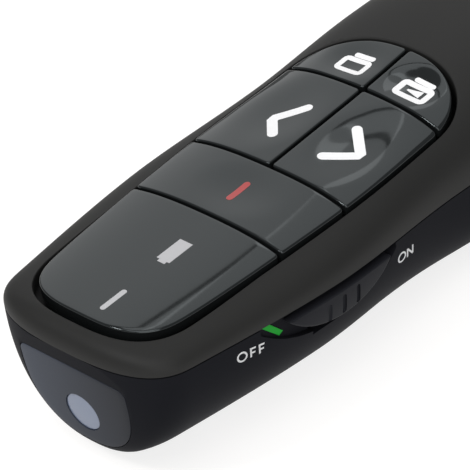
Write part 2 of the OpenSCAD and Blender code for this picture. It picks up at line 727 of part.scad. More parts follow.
// The thumb grip on the door: a row of round grooves across it
grip_count = 5;
grip_pitch = 2.2;
grip_l = 14;
grip_d = 1.4;
grip_deep = 0.4;
grip_u = 9;
module battery_door() color(case_black) from_nose() difference() {
    union() {
        intersection() {
            difference() {
                low_skin();
                low_skin(inset = door_t, skirt = 2);
            }
            door_prism(0, door_top);
        }
        rest_pad(door_rest_u);
        for (h = hook_places) both_sides() {
            block([hook_x - 0.6, h, 2.4], [hook_x, h + hook_l, hook_z + 0.8]);
            block([hook_x - 0.6, h, hook_z], [door_w / 2 - 0.25, h + hook_l, hook_z + 0.8]);
        }
        // A tongue between the cells, which slips over the case's floor in front of the door
        block([-1.2, door_start - 2.4, tongue_z], [1.2, door_start + 1.5, tongue_z + 0.6]);
        block([-1.2, door_start + 0.1, 0.8], [1.2, door_start + 1.5, tongue_z + 0.6]);
    }
    flat_cut(door_rest_u);
    for (i = [0:grip_count - 1]) translate([-grip_l / 2, door_start + grip_u + i * grip_pitch,
        rest_t + grip_deep - grip_d / 2]) rotate([0, 90, 0]) cylinder(d = grip_d, h = grip_l, $fn = 16);
}
hook_x = door_w / 2 - ledge_w - 0.15;
hook_z = 6.6;
tongue_z = wall + play;

// ---- Power slider ----

cap_bulge = 0.45;
groove_w = 0.5;
groove_pitch = 2.7;
groove_x = 18.2;
groove_head = 0.6;
groove_low = part_z(cap_u) - cap_h + 0.4;
module power_slider() color(case_black) from_nose() difference() {
    union() {
        intersection() {
            from_side(cap_x, 30) polygon(lens_shape(cap_u, cap_l, cap_h, cap_head));
            low_skin(inset = -cap_bulge, skirt = 0);
        }
        block([boss_x - 1.6, cap_u - stem_l / 2, stem_z - stem_h / 2],
            [cap_x + 0.4, cap_u + stem_l / 2, stem_z + stem_h / 2]);
    }
    for (i = [-1:1]) block([groove_x, cap_u + i * groove_pitch - groove_w / 2, groove_low],
        [30, cap_u + i * groove_pitch + groove_w / 2, part_z(cap_u) - cap_head - groove_head]);
    // The fork round the switch's actuator
    block([0, cap_u - 0.85, 0], [boss_x - 0.2, cap_u + 0.85, 30]);
}
// The green mark on the recess floor, which the cap covers when it is OFF
flag_t = 0.5;
module flag_shape(grow, deep) {
    from_side(recess_x - deep, recess_x + 0.2) polygon([
        [recess_u - 12.3 - grow, part_z(recess_u - 12.3) - 0.1],
        [recess_u - 11 + grow, part_z(recess_u - 11) - 0.1],
        [recess_u - 8.4 + grow, part_z(recess_u) - 2.3],
        [recess_u - 9.2 - grow, part_z(recess_u) - 2.6]]);
}
module switch_flag() color(flag_green) from_nose() flag_shape(0, flag_t);
module slide_switch() color(steel) from_nose() difference() {
    block([8.6, cap_u - slider_travel - 3.2, board_bottom - 3.2], [12.6, cap_u + 3.2, board_bottom]);
    block([10, cap_u - slider_travel - 0.9, board_bottom - 2.4],
        [14, cap_u + 0.9, board_bottom - 0.6]);
}
module slide_actuator() color(chip_black) from_nose()
    block([10.5, cap_u - 0.7, board_bottom - 2.2], [boss_x - 0.5, cap_u + 0.7, board_bottom - 0.8]);

// ---- Laser ----

barrel_u = 3.6;
barrel_end = barrel_u + barrel_l;
module laser_barrel() color(brass) from_nose() difference() {
    bar(0, laser_h, barrel_u, barrel_end, barrel_d);
    bar(0, laser_h, barrel_u - 1, barrel_u + 1.2, barrel_d - 3);
    bar(0, laser_h, barrel_u + 1, barrel_end + 1, barrel_d - 1.2);
}
module laser_collimator() color(lens_grey) from_nose()
    bar(0, laser_h, barrel_u + 1.2, barrel_u + 3.4, barrel_d - 1.2);
module laser_diode() color(steel) from_nose() {
    bar(0, laser_h, barrel_end - 4, barrel_end - 1.2, 3.4);
    bar(0, laser_h, barrel_end - 1.2, barrel_end, barrel_d - 1.2);
    for (x = [-1, 1]) bar(x, laser_h, barrel_end, barrel_end + 0.6, 0.45);
}
module laser_board() color(board_green) from_nose()
    block([-3.6, barrel_end + 0.6, laser_h - 3.2], [3.6, barrel_end + 1.4, laser_h + 3.2]);

// ---- Batteries and their bay ----

rail_t = 0.8;
nub_l = 1;
nub_d = 4;

module chassis() color([0.2, 0.2, 0.21]) from_nose() difference() {
    union() {
        block([-10.2, chassis_start, deck_z], [10.2, chassis_end, deck_z + deck_t]);
        block([-10, chassis_start, cell_h - 4], [10, chassis_start + 1.1, deck_z + deck_t]);
        block([-10, bay_end + plate_t, cell_h - 3], [10, chassis_end, deck_z + deck_t]);
        both_sides() block([slot_half, stick_start - 1, deck_z],
            [slot_half + rail_t, chassis_end, stick_z + stick_h - 1.2]);
        block([-slot_half - rail_t, stick_start - 1, deck_z],
            [slot_half + rail_t, stick_start - 0.2, stick_z + stick_h - 1.2]);
    }
    // Room for the board's rear screws, and slots for the contacts' tabs
    for (p = frame_posts) post(p[0], p[1], deck_z - 1, 30, 4);
    for (s = [-1, 1]) block([s * cell_x - 1.4, chassis_start + 0.5, deck_z - 1],
        [s * cell_x + 1.4, chassis_start + 1.5, deck_z + deck_t + 1]);
}
// One cell: the can with rounded rims and the nub at its far end
module cell(x, u0, dir) {
    r = cell_d / 2;
    can = cell_l - nub_l;
    translate([x, u0, cell_h]) rotate([-90 * dir, 0, 0]) rotate_extrude($fn = 64) polygon([
        [0, 0], [r - 0.4, 0], [r, 0.4], [r, can - 0.5], [r - 0.5, can], [nub_d / 2, can],
        [nub_d / 2, cell_l - 0.2], [nub_d / 2 - 0.2, cell_l], [0, cell_l]]);
}
module battery_left() color(cell_red) from_nose() cell(-cell_x, bay_start + spring_l, 1);
module battery_right() color(cell_red) from_nose() cell(cell_x, bay_end - spring_l, -1);
module contact_plate(x, u0) {
    block([x - 3.6, u0, cell_h - 3.4], [x + 3.6, u0 + plate_t, cell_h + 3.8]);
}
module battery_plates() color(steel) from_nose() for (s = [-1, 1]) {
    contact_plate(s * cell_x, bay_start - plate_t);
    block([s * cell_x - 1.2, bay_start - plate_t, cell_h + 3], [s * cell_x + 1.2, bay_start,
        deck_z - 0.15]);
    block([s * cell_x - 1.2, bay_start - plate_t - 0.4, deck_z - 0.45],
        [s * cell_x + 1.2, bay_start, deck_z - 0.15]);
    block([s * cell_x - 1.2, bay_start - plate_t - 0.55, deck_z - 0.45],
        [s * cell_x + 1.2, bay_start - plate_t - 0.25, board_top + 0.6]);
}
module battery_bridge() color(steel) from_nose() {
    for (s = [-1, 1]) contact_plate(s * cell_x, bay_end);
    block([-cell_x, bay_end, cell_h - 1.5], [cell_x, bay_end + plate_t, cell_h + 1.5]);
}
// A coil spring of round wire, wound along Y from u0 towards dir
wire_d = 0.5;
coil_d = 6;
coil_turns = 3;
coil_sides = 6;
coil_per_turn = 14;
module coil(x, u0, dir) {
    rings = coil_turns * coil_per_turn;
    rise_to = spring_l - wire_d;
    function wire_point(i, j) =
        let (a = 360 * i / coil_per_turn, b = 360 * j / coil_sides, w = wire_d / 2,
             r = coil_d / 2 * (1 - 0.25 * i / rings) + w * cos(b))
        [x + r * cos(a), u0 + dir * (w + rise_to * i / rings + w * sin(b)), cell_h + r * sin(a)];
    pts = [for (i = [0:rings]) for (j = [0:coil_sides - 1]) wire_point(i, j)];
    skin = [for (i = [0:rings - 1]) for (j = [0:coil_sides - 1])
        let (k = (j + 1) % coil_sides, a = i * coil_sides, b = (i + 1) * coil_sides)
        each [[a + j, a + k, b + k], [a + j, b + k, b + j]]];
    caps = [[for (j = [coil_sides - 1:-1:0]) j], [for (j = [0:coil_sides - 1]) rings * coil_sides + j]];
    faces = concat(skin, caps);
    polyhedron(points = pts, faces = dir > 0 ? [for (f = faces) [for (q = [len(f) - 1:-1:0]) f[q]]]
        : faces);
}
module battery_springs() color(steel) from_nose() {
    coil(-cell_x, bay_start, 1);
    coil(cell_x, bay_end, -1);
}

// ---- USB receiver, stowed in the tail ----

module stick_bar(u0, u1, shrink) {
    w = stick_w - 2 * shrink;
    h = stick_h - 2 * shrink;
    r = 1.2;
    translate([0, u1, stick_z + stick_h / 2]) rotate([90, 0, 0]) linear_extrude(u1 - u0)
        hull() for (sx = [-1, 1], sy = [-1, 1]) translate([sx * (w / 2 - r), sy * (h / 2 - r)])
            circle(r = r, $fn = 24);
}
module receiver_case() color(case_black) from_nose() difference() {
    union() {
        stick_bar(case_start, notch_u + 1, 0);
        intersection() {
            top_skin();
            block([-stick_w / 2, notch_u, part_z(body_l)], [stick_w / 2, body_l, 40]);
            translate([0, 0, play]) from_side(-20, 20) polygon([[notch_u, part_z(notch_u)],
                [body_l, part_z(body_l)], [body_l, 40], [notch_u, 40]]);
        }
    }
    // Seat of the plug
    block([-plug_w / 2, case_start - 1, stick_mid - plug_h / 2], [plug_w / 2, case_start + 3,
        stick_mid + plug_h / 2]);
}
stick_mid = stick_z + stick_h / 2;
shell_t = 0.3;
module receiver_plug() color(steel) from_nose() difference() {
    block([-plug_w / 2, stick_start, stick_mid - plug_h / 2],
        [plug_w / 2, case_start + 3, stick_mid + plug_h / 2]);
    block([-plug_w / 2 + shell_t, stick_start - 1, stick_mid - plug_h / 2 + shell_t],
        [plug_w / 2 - shell_t, case_start + 4, stick_mid + plug_h / 2 - shell_t]);
    for (x = [-4, 1.6]) block([x, stick_start + 5, stick_mid], [x + 2.4, stick_start + 7.4, 40]);
}
tongue_t = 1.9;
module receiver_tongue() color(clear_white) from_nose()
    block([-plug_w / 2 + shell_t, stick_start + 0.4, stick_mid - plug_h / 2 + shell_t],
        [plug_w / 2 - shell_t, case_start + 3, stick_mid - plug_h / 2 + shell_t + tongue_t]);
module receiver_contacts() color(gold) from_nose() for (x = [-3.5, -1, 1, 3.5])
    block([x - 0.5, stick_start + 1.2, stick_mid - plug_h / 2 + shell_t + tongue_t],
        [x + 0.5, stick_start + 8.6, stick_mid - plug_h / 2 + shell_t + tongue_t + 0.15]);

top_case();
bottom_case();
battery_door();
key_frame();
front_panel();
laser_key();
next_key();
back_key();
play_key();
blank_key();
laser_plunger();
next_plunger();
back_plunger();
play_plunger();
blank_plunger();
tact_switches();
main_pcb();
pcb_screws();
case_screws();
front_window();
laser_lens();
laser_barrel();
laser_collimator();
laser_diode();
laser_board();
power_slider();
switch_flag();
slide_switch();
slide_actuator();
status_leds();
light_guides();
radio_chip();
control_chip();
crystal();
capacitors();
antenna();
chassis();
battery_left();
battery_right();
battery_springs();
battery_plates();
battery_bridge();
receiver_case();
receiver_plug();
receiver_tongue();
receiver_contacts();
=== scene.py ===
"""The looks of a wireless presentation clicker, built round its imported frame.

Sizes are in millimetres, and places along the body are measured from its laser nose, which
points to -Y. to_mesh() turns both into the frame's metres.
"""

import math

import bmesh
import bpy
import numpy as np
from mathutils import Matrix, Vector


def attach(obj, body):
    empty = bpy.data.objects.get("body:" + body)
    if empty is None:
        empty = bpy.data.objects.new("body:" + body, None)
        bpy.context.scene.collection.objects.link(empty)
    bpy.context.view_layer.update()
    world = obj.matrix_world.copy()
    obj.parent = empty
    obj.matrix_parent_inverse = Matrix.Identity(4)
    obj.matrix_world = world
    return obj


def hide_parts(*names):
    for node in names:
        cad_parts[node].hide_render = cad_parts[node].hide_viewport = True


MM = 0.001
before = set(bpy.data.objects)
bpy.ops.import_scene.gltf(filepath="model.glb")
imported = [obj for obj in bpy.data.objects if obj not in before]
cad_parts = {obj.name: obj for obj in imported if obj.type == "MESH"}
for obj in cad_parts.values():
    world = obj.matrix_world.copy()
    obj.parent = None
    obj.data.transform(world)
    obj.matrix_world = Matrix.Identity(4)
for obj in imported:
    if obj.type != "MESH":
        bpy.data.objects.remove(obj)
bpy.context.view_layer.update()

# ---- The body's curves, in the frame's own sizes ----

LENGTH = 115.0
WALL = 1.8
SPLIT_H = 19.7
SPLIT_FALL = 0.06
WIDTHS = [(0, 15.1), (32, 18.9), (56, 18.1), (74, 18.4), (98, 17.6), (LENGTH, 15.0)]
CROWNS = [(0, 22.9), (32, 23.4), (56, 24.7), (82, 26.2), (LENGTH, 21.5)]
KEELS = [(0, 2.4), (32, -0.1), (52, 0.6), (68, -0.1), (98, 0.0), (LENGTH, 2.0)]
TOP_FULL = 2.9
LOW_FULL = [(0, 2.3), (42, 2.3), (66, 3.2), (98, 3.2), (LENGTH, 2.7)]
NOSE_FULL = 2.8
END_FULL = 2.4
NOSE_PLAN_R = 8.0
NOSE_TOP_R = 3.2
NOSE_LOW_R = 3.6
TAIL_PLAN_R = 15.0
TAIL_SIDE_R = 9.0
# The end sections stand this far inside the tips, so that they close without a point
TIP = 0.004
NOSE_STEPS = 28
SIDE_STEPS = 120
TAIL_STEPS = 30


def along(stations, u):
    """Value at u of the smooth curve through the stations."""
    at, value = np.array(stations, float).T
    slope = np.gradient(value, at)
    slope[1:-1] = (value[2:] - value[:-2]) / (at[2:] - at[:-2])
    i = np.clip(np.searchsorted(at, u, side="right") - 1, 0, len(at) - 2)
    h = at[i + 1] - at[i]
    t = (u - at[i]) / h
    return (
        (2 * t**3 - 3 * t**2 + 1) * value[i]
        + (t**3 - 2 * t**2 + t) * slope[i] * h
        + (3 * t**2 - 2 * t**3) * value[i + 1]
        + (t**3 - t**2) * slope[i + 1] * h
    )


def rounded(share, full):
    """How far out a rounded end has come at this share of its length."""
    left = 1 - np.clip(share, 0, 1)
    return (1 - left**full) ** (1 / full)


def split_z(u):
    return SPLIT_H - SPLIT_FALL * u


def end_share(u, inset, nose_r, nose_full, tail_r):
    """Share of the full section that the rounded nose and tail leave at u."""
    nose = rounded((u - inset) / (nose_r - inset), nose_full)
    tail = rounded((LENGTH - inset - u) / (tail_r - inset), END_FULL)
    return nose * tail


def half_w(u, inset=0.0):
    return (along(WIDTHS, u) - inset) * end_share(u, inset, NOSE_PLAN_R, NOSE_FULL, TAIL_PLAN_R)


def rise(u, inset=0.0):
    full = along(CROWNS, u) - split_z(u) - inset
    return full * end_share(u, inset, NOSE_TOP_R, END_FULL, TAIL_SIDE_R)


def fall(u, inset=0.0):
    full = split_z(u) - along(KEELS, u) - inset
    return full * end_share(u, inset, NOSE_LOW_R, END_FULL, TAIL_SIDE_R)


def top_z(x, u, inset=0.0):
    """Height of the upper skin over the point x, u of the plan."""
    q = np.clip(np.abs(x) / np.maximum(half_w(u, inset), 1e-6), 0, 1)
    return split_z(u) + rise(u, inset) * (1 - q**TOP_FULL) ** (1 / TOP_FULL)


# ---- The keypad's plan ----

PAD_START = 3.8
PANEL_L = 24.6
LASER_KEY_L = 11.7
PAGE_KEY_L = 19.0
REAR_KEY_L = 9.5
KEY_GAP = 0.5
PAD_GAP = 0.5
FRONT_GAP = 0.6
# The wider gap at the front fades out over this length, up to this place
FRONT_GAP_L = 14.0
FRONT_GAP_END = 24.0
WELL_T = 1.1
FRAME_TOP = 20.4
PAD_LINE = [(0, 10.4), (8, 11.3), (16, 12.25), (30, 13.3), (44, 13.9), (60, 13.6), (80, 13.3)]
PAD_FRONT_R = 8.6
PAD_REAR_R = 11.0
PAD_FRONT_FULL = 2.9
PAD_REAR_FULL = 2.3
LASER_U = PAD_START + PANEL_L + KEY_GAP
PAGE_U = LASER_U + LASER_KEY_L + KEY_GAP
REAR_U = PAGE_U + PAGE_KEY_L + KEY_GAP
PAD_END = REAR_U + REAR_KEY_L
KEY_PROUD = 0.65
REAR_PROUD = 0.1
PROUD_FALL_L = 36.0
ROW_BOW = 0.4


def pad_half(u, grow=0.0, front=0.0):
    """Half width of the keypad's outline, grown by a gap, and by front at its front end."""
    wide = front * np.clip((FRONT_GAP_END - u) / FRONT_GAP_L, 0, 1)
    out = grow + front
    nose = rounded((u - PAD_START + out) / (PAD_FRONT_R + out), PAD_FRONT_FULL)
    tail = rounded((PAD_END + grow - u) / (PAD_REAR_R + grow), PAD_REAR_FULL)
    return (along(PAD_LINE, u) + grow + wide) * nose * tail


def pad_outline(grow=0.0, front=0.0, steps=160):
    """Closed plan outline of the keypad, from its front round the +X side."""
    a = PAD_START - grow - front
    b = PAD_END + grow
    u = a + (b - a) * (1 - np.cos(np.linspace(0, np.pi, steps + 1))) / 2
    side = np.stack([pad_half(u, grow, front), u], 1)
    other = side[-2:0:-1] * [-1, 1]
    return np.concatenate([side, other])


# ---- Meshes ----


def to_mesh(name, points, faces):
    """A mesh object from points in millimetres, measured from the nose."""
    mesh = bpy.data.meshes.new(name)
    placed = (np.asarray(points, float) - [0, LENGTH / 2, 0]) * MM
    mesh.from_pydata(placed.tolist(), [], [tuple(f) for f in faces])
    made = bmesh.new()
    made.from_mesh(mesh)
    bmesh.ops.remove_doubles(made, verts=made.verts, dist=1e-7)
    bmesh.ops.recalc_face_normals(made, faces=made.faces)
    made.to_mesh(mesh)
    made.free()
    obj = bpy.data.objects.new(name, mesh)
    bpy.context.scene.collection.objects.link(obj)
    return obj


def loft(name, rings, ends="flat"):
    """A closed solid through rings of equally many points.

    ends is flat, point where the last ring is a point, or joined where it meets the first.
    """
    rings = [np.asarray(r, float) for r in rings]
    n = len(rings[0])
    points = np.concatenate(rings)
    faces = []
    last = len(rings) - 1
    for r in range(last + (ends == "joined")):
        here, there = r * n, (r + 1) % len(rings) * n
        for i in range(n):
            j = (i + 1) % n
            faces.append((here + i, here + j, there + j, there + i))
    if ends != "joined":
        faces.append(range(n - 1, -1, -1))
    if ends == "flat":
        faces.append(range(last * n, last * n + n))
    return to_mesh(name, points, faces)


def slab(low, high):
    """A block between two corners, used to cut and join."""
    x, u, z = zip(low, high)
    rings = [[(x[0], u[0], h), (x[1], u[0], h), (x[1], u[1], h), (x[0], u[1], h)] for h in z]
    return loft("slab", rings)


def side_slab(side, x0, x1, low, high):
    """A block between two distances from the middle, on the side -1 or 1."""
    near, far = sorted((side * x0, side * x1))
    return slab((near, *low), (far, *high))


def rod(start, end, diameter, sides=48):
    """A round bar between two points."""
    a, b = Vector(start), Vector(end)
    turn = (b - a).to_track_quat("Z", "Y").to_matrix()
    circle = [
        turn @ Vector((math.cos(t), math.sin(t), 0)) * diameter / 2
        for t in np.linspace(0, 2 * np.pi, sides, endpoint=False)
    ]
    return loft("rod", [[tuple(a + c) for c in circle], [tuple(b + c) for c in circle]])


def side_prism(outline, x0, x1):
    """Extrudes an outline of (distance from the nose, height) along X."""
    return loft("prism", [[(x, u, z) for u, z in outline] for x in (x0, x1)])


def plan_prism(outline, z0, z1):
    """Extrudes a plan outline along Z."""
    return loft("prism", [[(x, u, z) for x, u in outline] for z in (z0, z1)])


def carve(base, *steps):
    """Applies (operation, tool) steps to a closed solid. The tools are used up."""
    for operation, tool in steps:
        step = base.modifiers.new("step", "BOOLEAN")
        step.operation = operation
        step.solver = "MANIFOLD"
        step.object = tool
    graph = bpy.context.evaluated_depsgraph_get()
    done = bpy.data.meshes.new_from_object(base.evaluated_get(graph))
    base.modifiers.clear()
    base.data = done
    for _, tool in steps:
        bpy.data.objects.remove(tool)
    return base


def cut(tool):
    return ("DIFFERENCE", tool)


def join(tool):
    return ("UNION", tool)


def keep(tool):
    return ("INTERSECT", tool)


def smooth(obj, angle):
    """Smooth shading, with the edges sharper than the angle in degrees kept."""
    obj.data.shade_smooth()
    obj.data.set_sharp_from_angle(angle=math.radians(angle))
    return obj


def skin_stations(inset):
    """Places of the sections: close together where the ends round off."""
    start = inset + TIP
    end = LENGTH - inset - TIP
    nose = NOSE_PLAN_R
    tail = LENGTH - TAIL_PLAN_R
    a = start + (nose - start) * (1 - np.cos(np.linspace(0, np.pi / 2, NOSE_STEPS)))
    b = np.linspace(nose, tail, SIDE_STEPS)
    c = end - (end - tail) * (1 - np.cos(np.linspace(np.pi / 2, 0, TAIL_STEPS)))
    return np.concatenate([a, b[1:-1], c])


def skin(inset, skirt, below, steps=88):
    """The closed upper or lower skin, lying inset inside the outer form."""
    turn = np.linspace(0, np.pi, steps + 1)
    rings = []
    for u in skin_stations(inset):
        z = split_z(u)
        w = half_w(u, inset)
        full = along(LOW_FULL, u) if below else TOP_FULL
        deep = -fall(u, inset) if below else rise(u, inset)
        x = w * np.sign(np.cos(turn)) * np.abs(np.cos(turn)) ** (2 / full)
        h = z + deep * np.clip(np.sin(turn), 0, 1) ** (2 / full)
        edge = z + (skirt if below else -skirt)
        ring = np.stack([x, np.full_like(x, u), h], 1)
        if skirt:
            ring = np.concatenate([[[w, u, edge]], ring, [[-w, u, edge]]])
        rings.append(ring)
    return loft("skin", rings)


def low_skin(inset=0.0, skirt=0.0):
    return skin(inset, skirt, True)


def top_skin(inset=0.0, skirt=0.0):
    return skin(inset, skirt, False)


# ---- The two shells ----

SIDES = (-1, 1)
# Cutting tools reach past the part: under it, beside it, over it and past its ends
UNDER = -5.0
BESIDE = 20.0
FAR = 30.0
OVER = 40.0
PAST_TAIL = 5.0
PAST_END = 2.0
SEAT_OUT = 10.0
# An inner skin that hollows a shell reaches this far past the parting line
SKIRT = 2.0
# Clearances: where pieces slide, and where they only fit
PLAY = 0.1
FIT = 0.15
# The groove at the parting line
GROOVE = 0.11
GROOVE_DEEP = 0.35
# The round on the rim of the keypad's opening
RIM_R = 0.28
OPENING_TOP = 32.0
# The board and the pillars that the case screws pass
BOARD_TOP = 15.6
SCREWS_AT = [(-9.5, 16.0), (9.5, 16.0)]
SCREW_HOLE_D = 2.3
HEAD_HOLE_D = 4.2
HEAD_SEAT_Z = 6.0
PILLAR_D = 5.0
# Blocks in the lower shell stay this far inside its outer skin, and under their neighbours
SINK = 0.4
PILLAR_FREE = 0.2
NOSE_BLOCK = 6.2
NOSE_BLOCK_FREE = 0.4
# The leaning front face with its window and lens
FACE_LEAN = math.radians(4.5)
FACE_SET = 0.65
BROW_H = 16.9
BROW_SET = 0.15
WINDOW_T = 1.2
WINDOW_TOP = 16.6
WINDOW_BOTTOM = 3.4
WINDOW_HALF = 9.7
WINDOW_TURN = 14.5
WINDOW_CORNER_R = 1.2
WINDOW_SIDE_FULL = 2.6
WINDOW_END_FULL = 2.2
WINDOW_PLAY = 0.08
WINDOW_EDGE_R = 0.1
LENS_D = 6.0
LENS_PLAY = 0.03
LENS_SET = 0.1
LENS_DOME = 0.06
LENS_EDGE_R = 0.12
LASER_H = 8.4
BARREL_D = 6.4
BARREL_U = 3.6
BARREL_STOP = 0.8
# The slider, its recess and its arm
RECESS_U = 31.5
RECESS_L = 25.6
RECESS_H = 5.8
RECESS_X = 17.0
RECESS_BLUNT = 0.9
CAP_U = 33.0
CAP_L = 21.4
CAP_H = 5.3
CAP_HEAD = 1.0
SLIDER_TRAVEL = 3.0
STEM_Z = 13.2
STEM_L = 4.0
STEM_H = 2.0
ARM_ROOM = 0.25
BOSS_X = 15.0
BOSS_HALF_L = 15.0
BOSS_LOW = 10.0
BOSS_FREE = 0.2
# The green mark ahead of the recess's middle: its upper and lower ends, and how deep they lie
FLAG_TOP = (12.3, 11.0)
FLAG_LOW = (9.2, 8.4)
FLAG_TOP_DROP = 0.1
FLAG_LOW_DROPS = (2.6, 2.3)
FLAG_SEAT = (0.5, 0.2)
FLAG_PLAY = 0.03
# The battery door, its hooks and tongue, and the ledges that the hooks catch
DOOR_START = 66.0
DOOR_HALF = 12.5
DOOR_T = 1.4
DOOR_TOP = 6.0
DOOR_TRAVEL = 6.0
HOOKS_AT = (72.0, 90.0)
HOOK_L = 5.0
HOOK_X = 11.45
HOOK_T = 0.6
HOOK_FOOT = 2.4
HOOK_Z = 6.6
HOOK_H = 0.8
HOOK_FREE = 0.25
TONGUE_HALF = 1.2
TONGUE_LEAD = 2.4
TONGUE_ROOT = 1.5
TONGUE_LOW = 1.9
TONGUE_TOP = 2.5
TONGUE_NECK_Z = 0.8
LEDGE_IN = 11.6
LEDGE_PLAY = 0.35
LEDGE_T = 1.2
LEDGE_LEAD = 2.0
LEDGE_END = 100.0
LEDGE_TOP = 9.0
LEDGE_ROOT = 1.6
LEDGE_REACH = 5.0
SLOT_ROOM = 0.4
# The door's thumb grip
GRIP_COUNT = 5
DOOR_GRIP_PITCH = 2.2
GRIP_L = 14.0
GRIP_R = 0.7
GRIP_DEEP = 0.4
GRIP_U = 9.0
# The receiver and the tail that it closes
STICK_W = 17.0
STICK_H = 6.6
STICK_MID = 17.1
STICK_R = 1.2
CASE_START = 83.9
PLUG_W = 12.0
PLUG_H = 4.5
PLUG_DEEP = 3.0
TAIL_OPEN_U = 107.2
SLOT_HALF = 8.65
SLOT_START = 82.9
SLOT_TOP = 20.6
# The low pads that the clicker lies on
REST_T = 0.25
REST_H = 0.8
REST_HALF = 5.0
REST_L = 7.0
REST_U = 27.5
DOOR_REST_U = 89.0
# The snap hooks of the upper shell. The nib's heights are counted from the hook's low end
SNAPS_AT = (50.0, 68.0, 90.0)
SNAP_L = 5.0
SNAP_T = 1.0
SNAP_DEEP = 3.2
SNAP_NIB = 0.5
SNAP_FREE = 0.1
NIB_FULL_Z = 0.6
NIB_FALL_Z = 1.0
NIB_TOP_Z = 1.6
SNAP_FOOT_LOW = 0.3
SNAP_FOOT_TOP = 1.5
SNAP_FOOT_OUT = 0.8


def face_u(z):
    """Distance of the leaning front face from the nose at the height z."""
    return FACE_SET + (SPLIT_H - z) * math.tan(FACE_LEAN)


def on_face(x, y, out):
    """A point drawn in the leaning face: x across, y up from the parting line, out of the face."""
    u = FACE_SET - y * math.sin(FACE_LEAN) - out * math.cos(FACE_LEAN)
    z = SPLIT_H + y * math.cos(FACE_LEAN) - out * math.sin(FACE_LEAN)
    return (x, u, z)


def face_y(z):
    return -(SPLIT_H - z) / math.cos(FACE_LEAN)


def window_outline(grow):
    """The shield in the nose: a level top, sides that bow in to a round bottom."""
    w = WINDOW_HALF + grow
    r = WINDOW_CORNER_R
    deep = WINDOW_TURN - WINDOW_BOTTOM + grow
    t = np.sin(np.linspace(0, np.pi / 2, 41))
    across = w * (1 - t**WINDOW_SIDE_FULL) ** (1 / WINDOW_END_FULL)
    side = [(x, face_y(WINDOW_TURN - deep * v)) for x, v in zip(across, t)]
    head = [
        (w - r + r * math.sin(a), face_y(WINDOW_TOP + grow - r) + r * math.cos(a))
        for a in np.linspace(0, np.pi / 2, 13)
    ]
    right = head + side
    return right + [(-x, y) for x, y in right[-2::-1]]


def arc_radius(chord, hang):
    """Radius of the arc that hangs this deep between its ends."""
    return (chord**2 / 4 + hang**2) / (2 * hang)


def recess_outline():
    """The slider's recess: an arc hung over the parting line, as (place along, height)."""
    half = RECESS_L / 2
    hang = RECESS_H - RECESS_BLUNT
    radius = arc_radius(RECESS_L, hang)
    v = np.linspace(-half, half, 73)
    sag = np.sqrt(radius**2 - v**2) - (radius - hang) + RECESS_BLUNT
    low = [(RECESS_U + a, split_z(RECESS_U + a) - s) for a, s in zip(v, sag)]
    return low + [(u, split_z(u) + 1) for u in (RECESS_U + half, RECESS_U - half)]


def groove_ring():
    """A thin ring at the parting line, which parts the two shells by a fine groove."""
    plane = [(u, split_z(u)) for u in (-PAST_END, LENGTH + PAST_END)]
    band = [(u, z - GROOVE) for u, z in plane] + [(u, z + GROOVE) for u, z in plane[::-1]]
    core = loft("core", [skirt_ring(z) for z in (-2 * GROOVE, 2 * GROOVE)])
    return carve(side_prism(band, -FAR, FAR), cut(core))


def skirt_ring(off):
    """The plan outline at the parting line, a groove's depth inside the skin."""
    u = skin_stations(GROOVE_DEEP)
    w = half_w(u, GROOVE_DEEP)
    right = np.stack([w, u, split_z(u) + off], 1)
    return np.concatenate([right, right[::-1] * [-1, 1, 1]])


def opening_tool():
    """Cuts the keypad's opening, with a small round on the rim."""
    plan = pad_outline(PAD_GAP, FRONT_GAP)
    rings = [from_plan(plan, np.full(len(plan), FRAME_TOP - 1))]
    for a in np.linspace(0, np.pi / 2, 6):
        wide = pad_outline(PAD_GAP + RIM_R * (1 - math.cos(a)), FRONT_GAP)
        z = top_z(plan[:, 0], plan[:, 1]) - RIM_R * (1 - math.sin(a)) + 0.01
        rings.append(from_plan(wide, z))
    wide = pad_outline(PAD_GAP + RIM_R, FRONT_GAP)
    rings.append(from_plan(wide, np.full(len(wide), OPENING_TOP)))
    return loft("opening", rings)


def snap_x(u):
    """The outer face of a snap hook: just inside the narrower end of the wall beside it."""
    return float(min(half_w(u, WALL), half_w(u + SNAP_L, WALL))) - PLAY - SNAP_FREE


def snap_hook(u, side):
    """A hook that hangs from the upper wall, with its nib near its end."""
    x = snap_x(u)
    z = split_z(u)
    low = z - SNAP_DEEP
    outline = [
        (x - SNAP_T, low),
        (x, low),
        (x + SNAP_NIB, low + NIB_FULL_Z),
        (x + SNAP_NIB, low + NIB_FALL_Z),
        (x, low + NIB_TOP_Z),
        (x, z + SNAP_FOOT_LOW),
        (x + SNAP_FOOT_OUT, z + SNAP_FOOT_LOW),
        (x + SNAP_FOOT_OUT, z + SNAP_FOOT_TOP),
        (x - SNAP_T, z + SNAP_FOOT_TOP),
    ]
    return loft("hook", [[(side * a, v, h) for a, h in outline] for v in (u, u + SNAP_L)])


def snap_pocket(u, side):
    """The pocket in the lower wall that takes a hook's nib."""
    x = snap_x(u)
    z = split_z(u) - SNAP_DEEP
    low = (u - FIT, z - FIT)
    return side_slab(
        side, x - SNAP_FREE, x + SNAP_NIB + FIT, low, (u + SNAP_L + FIT, z + NIB_TOP_Z + FIT)
    )


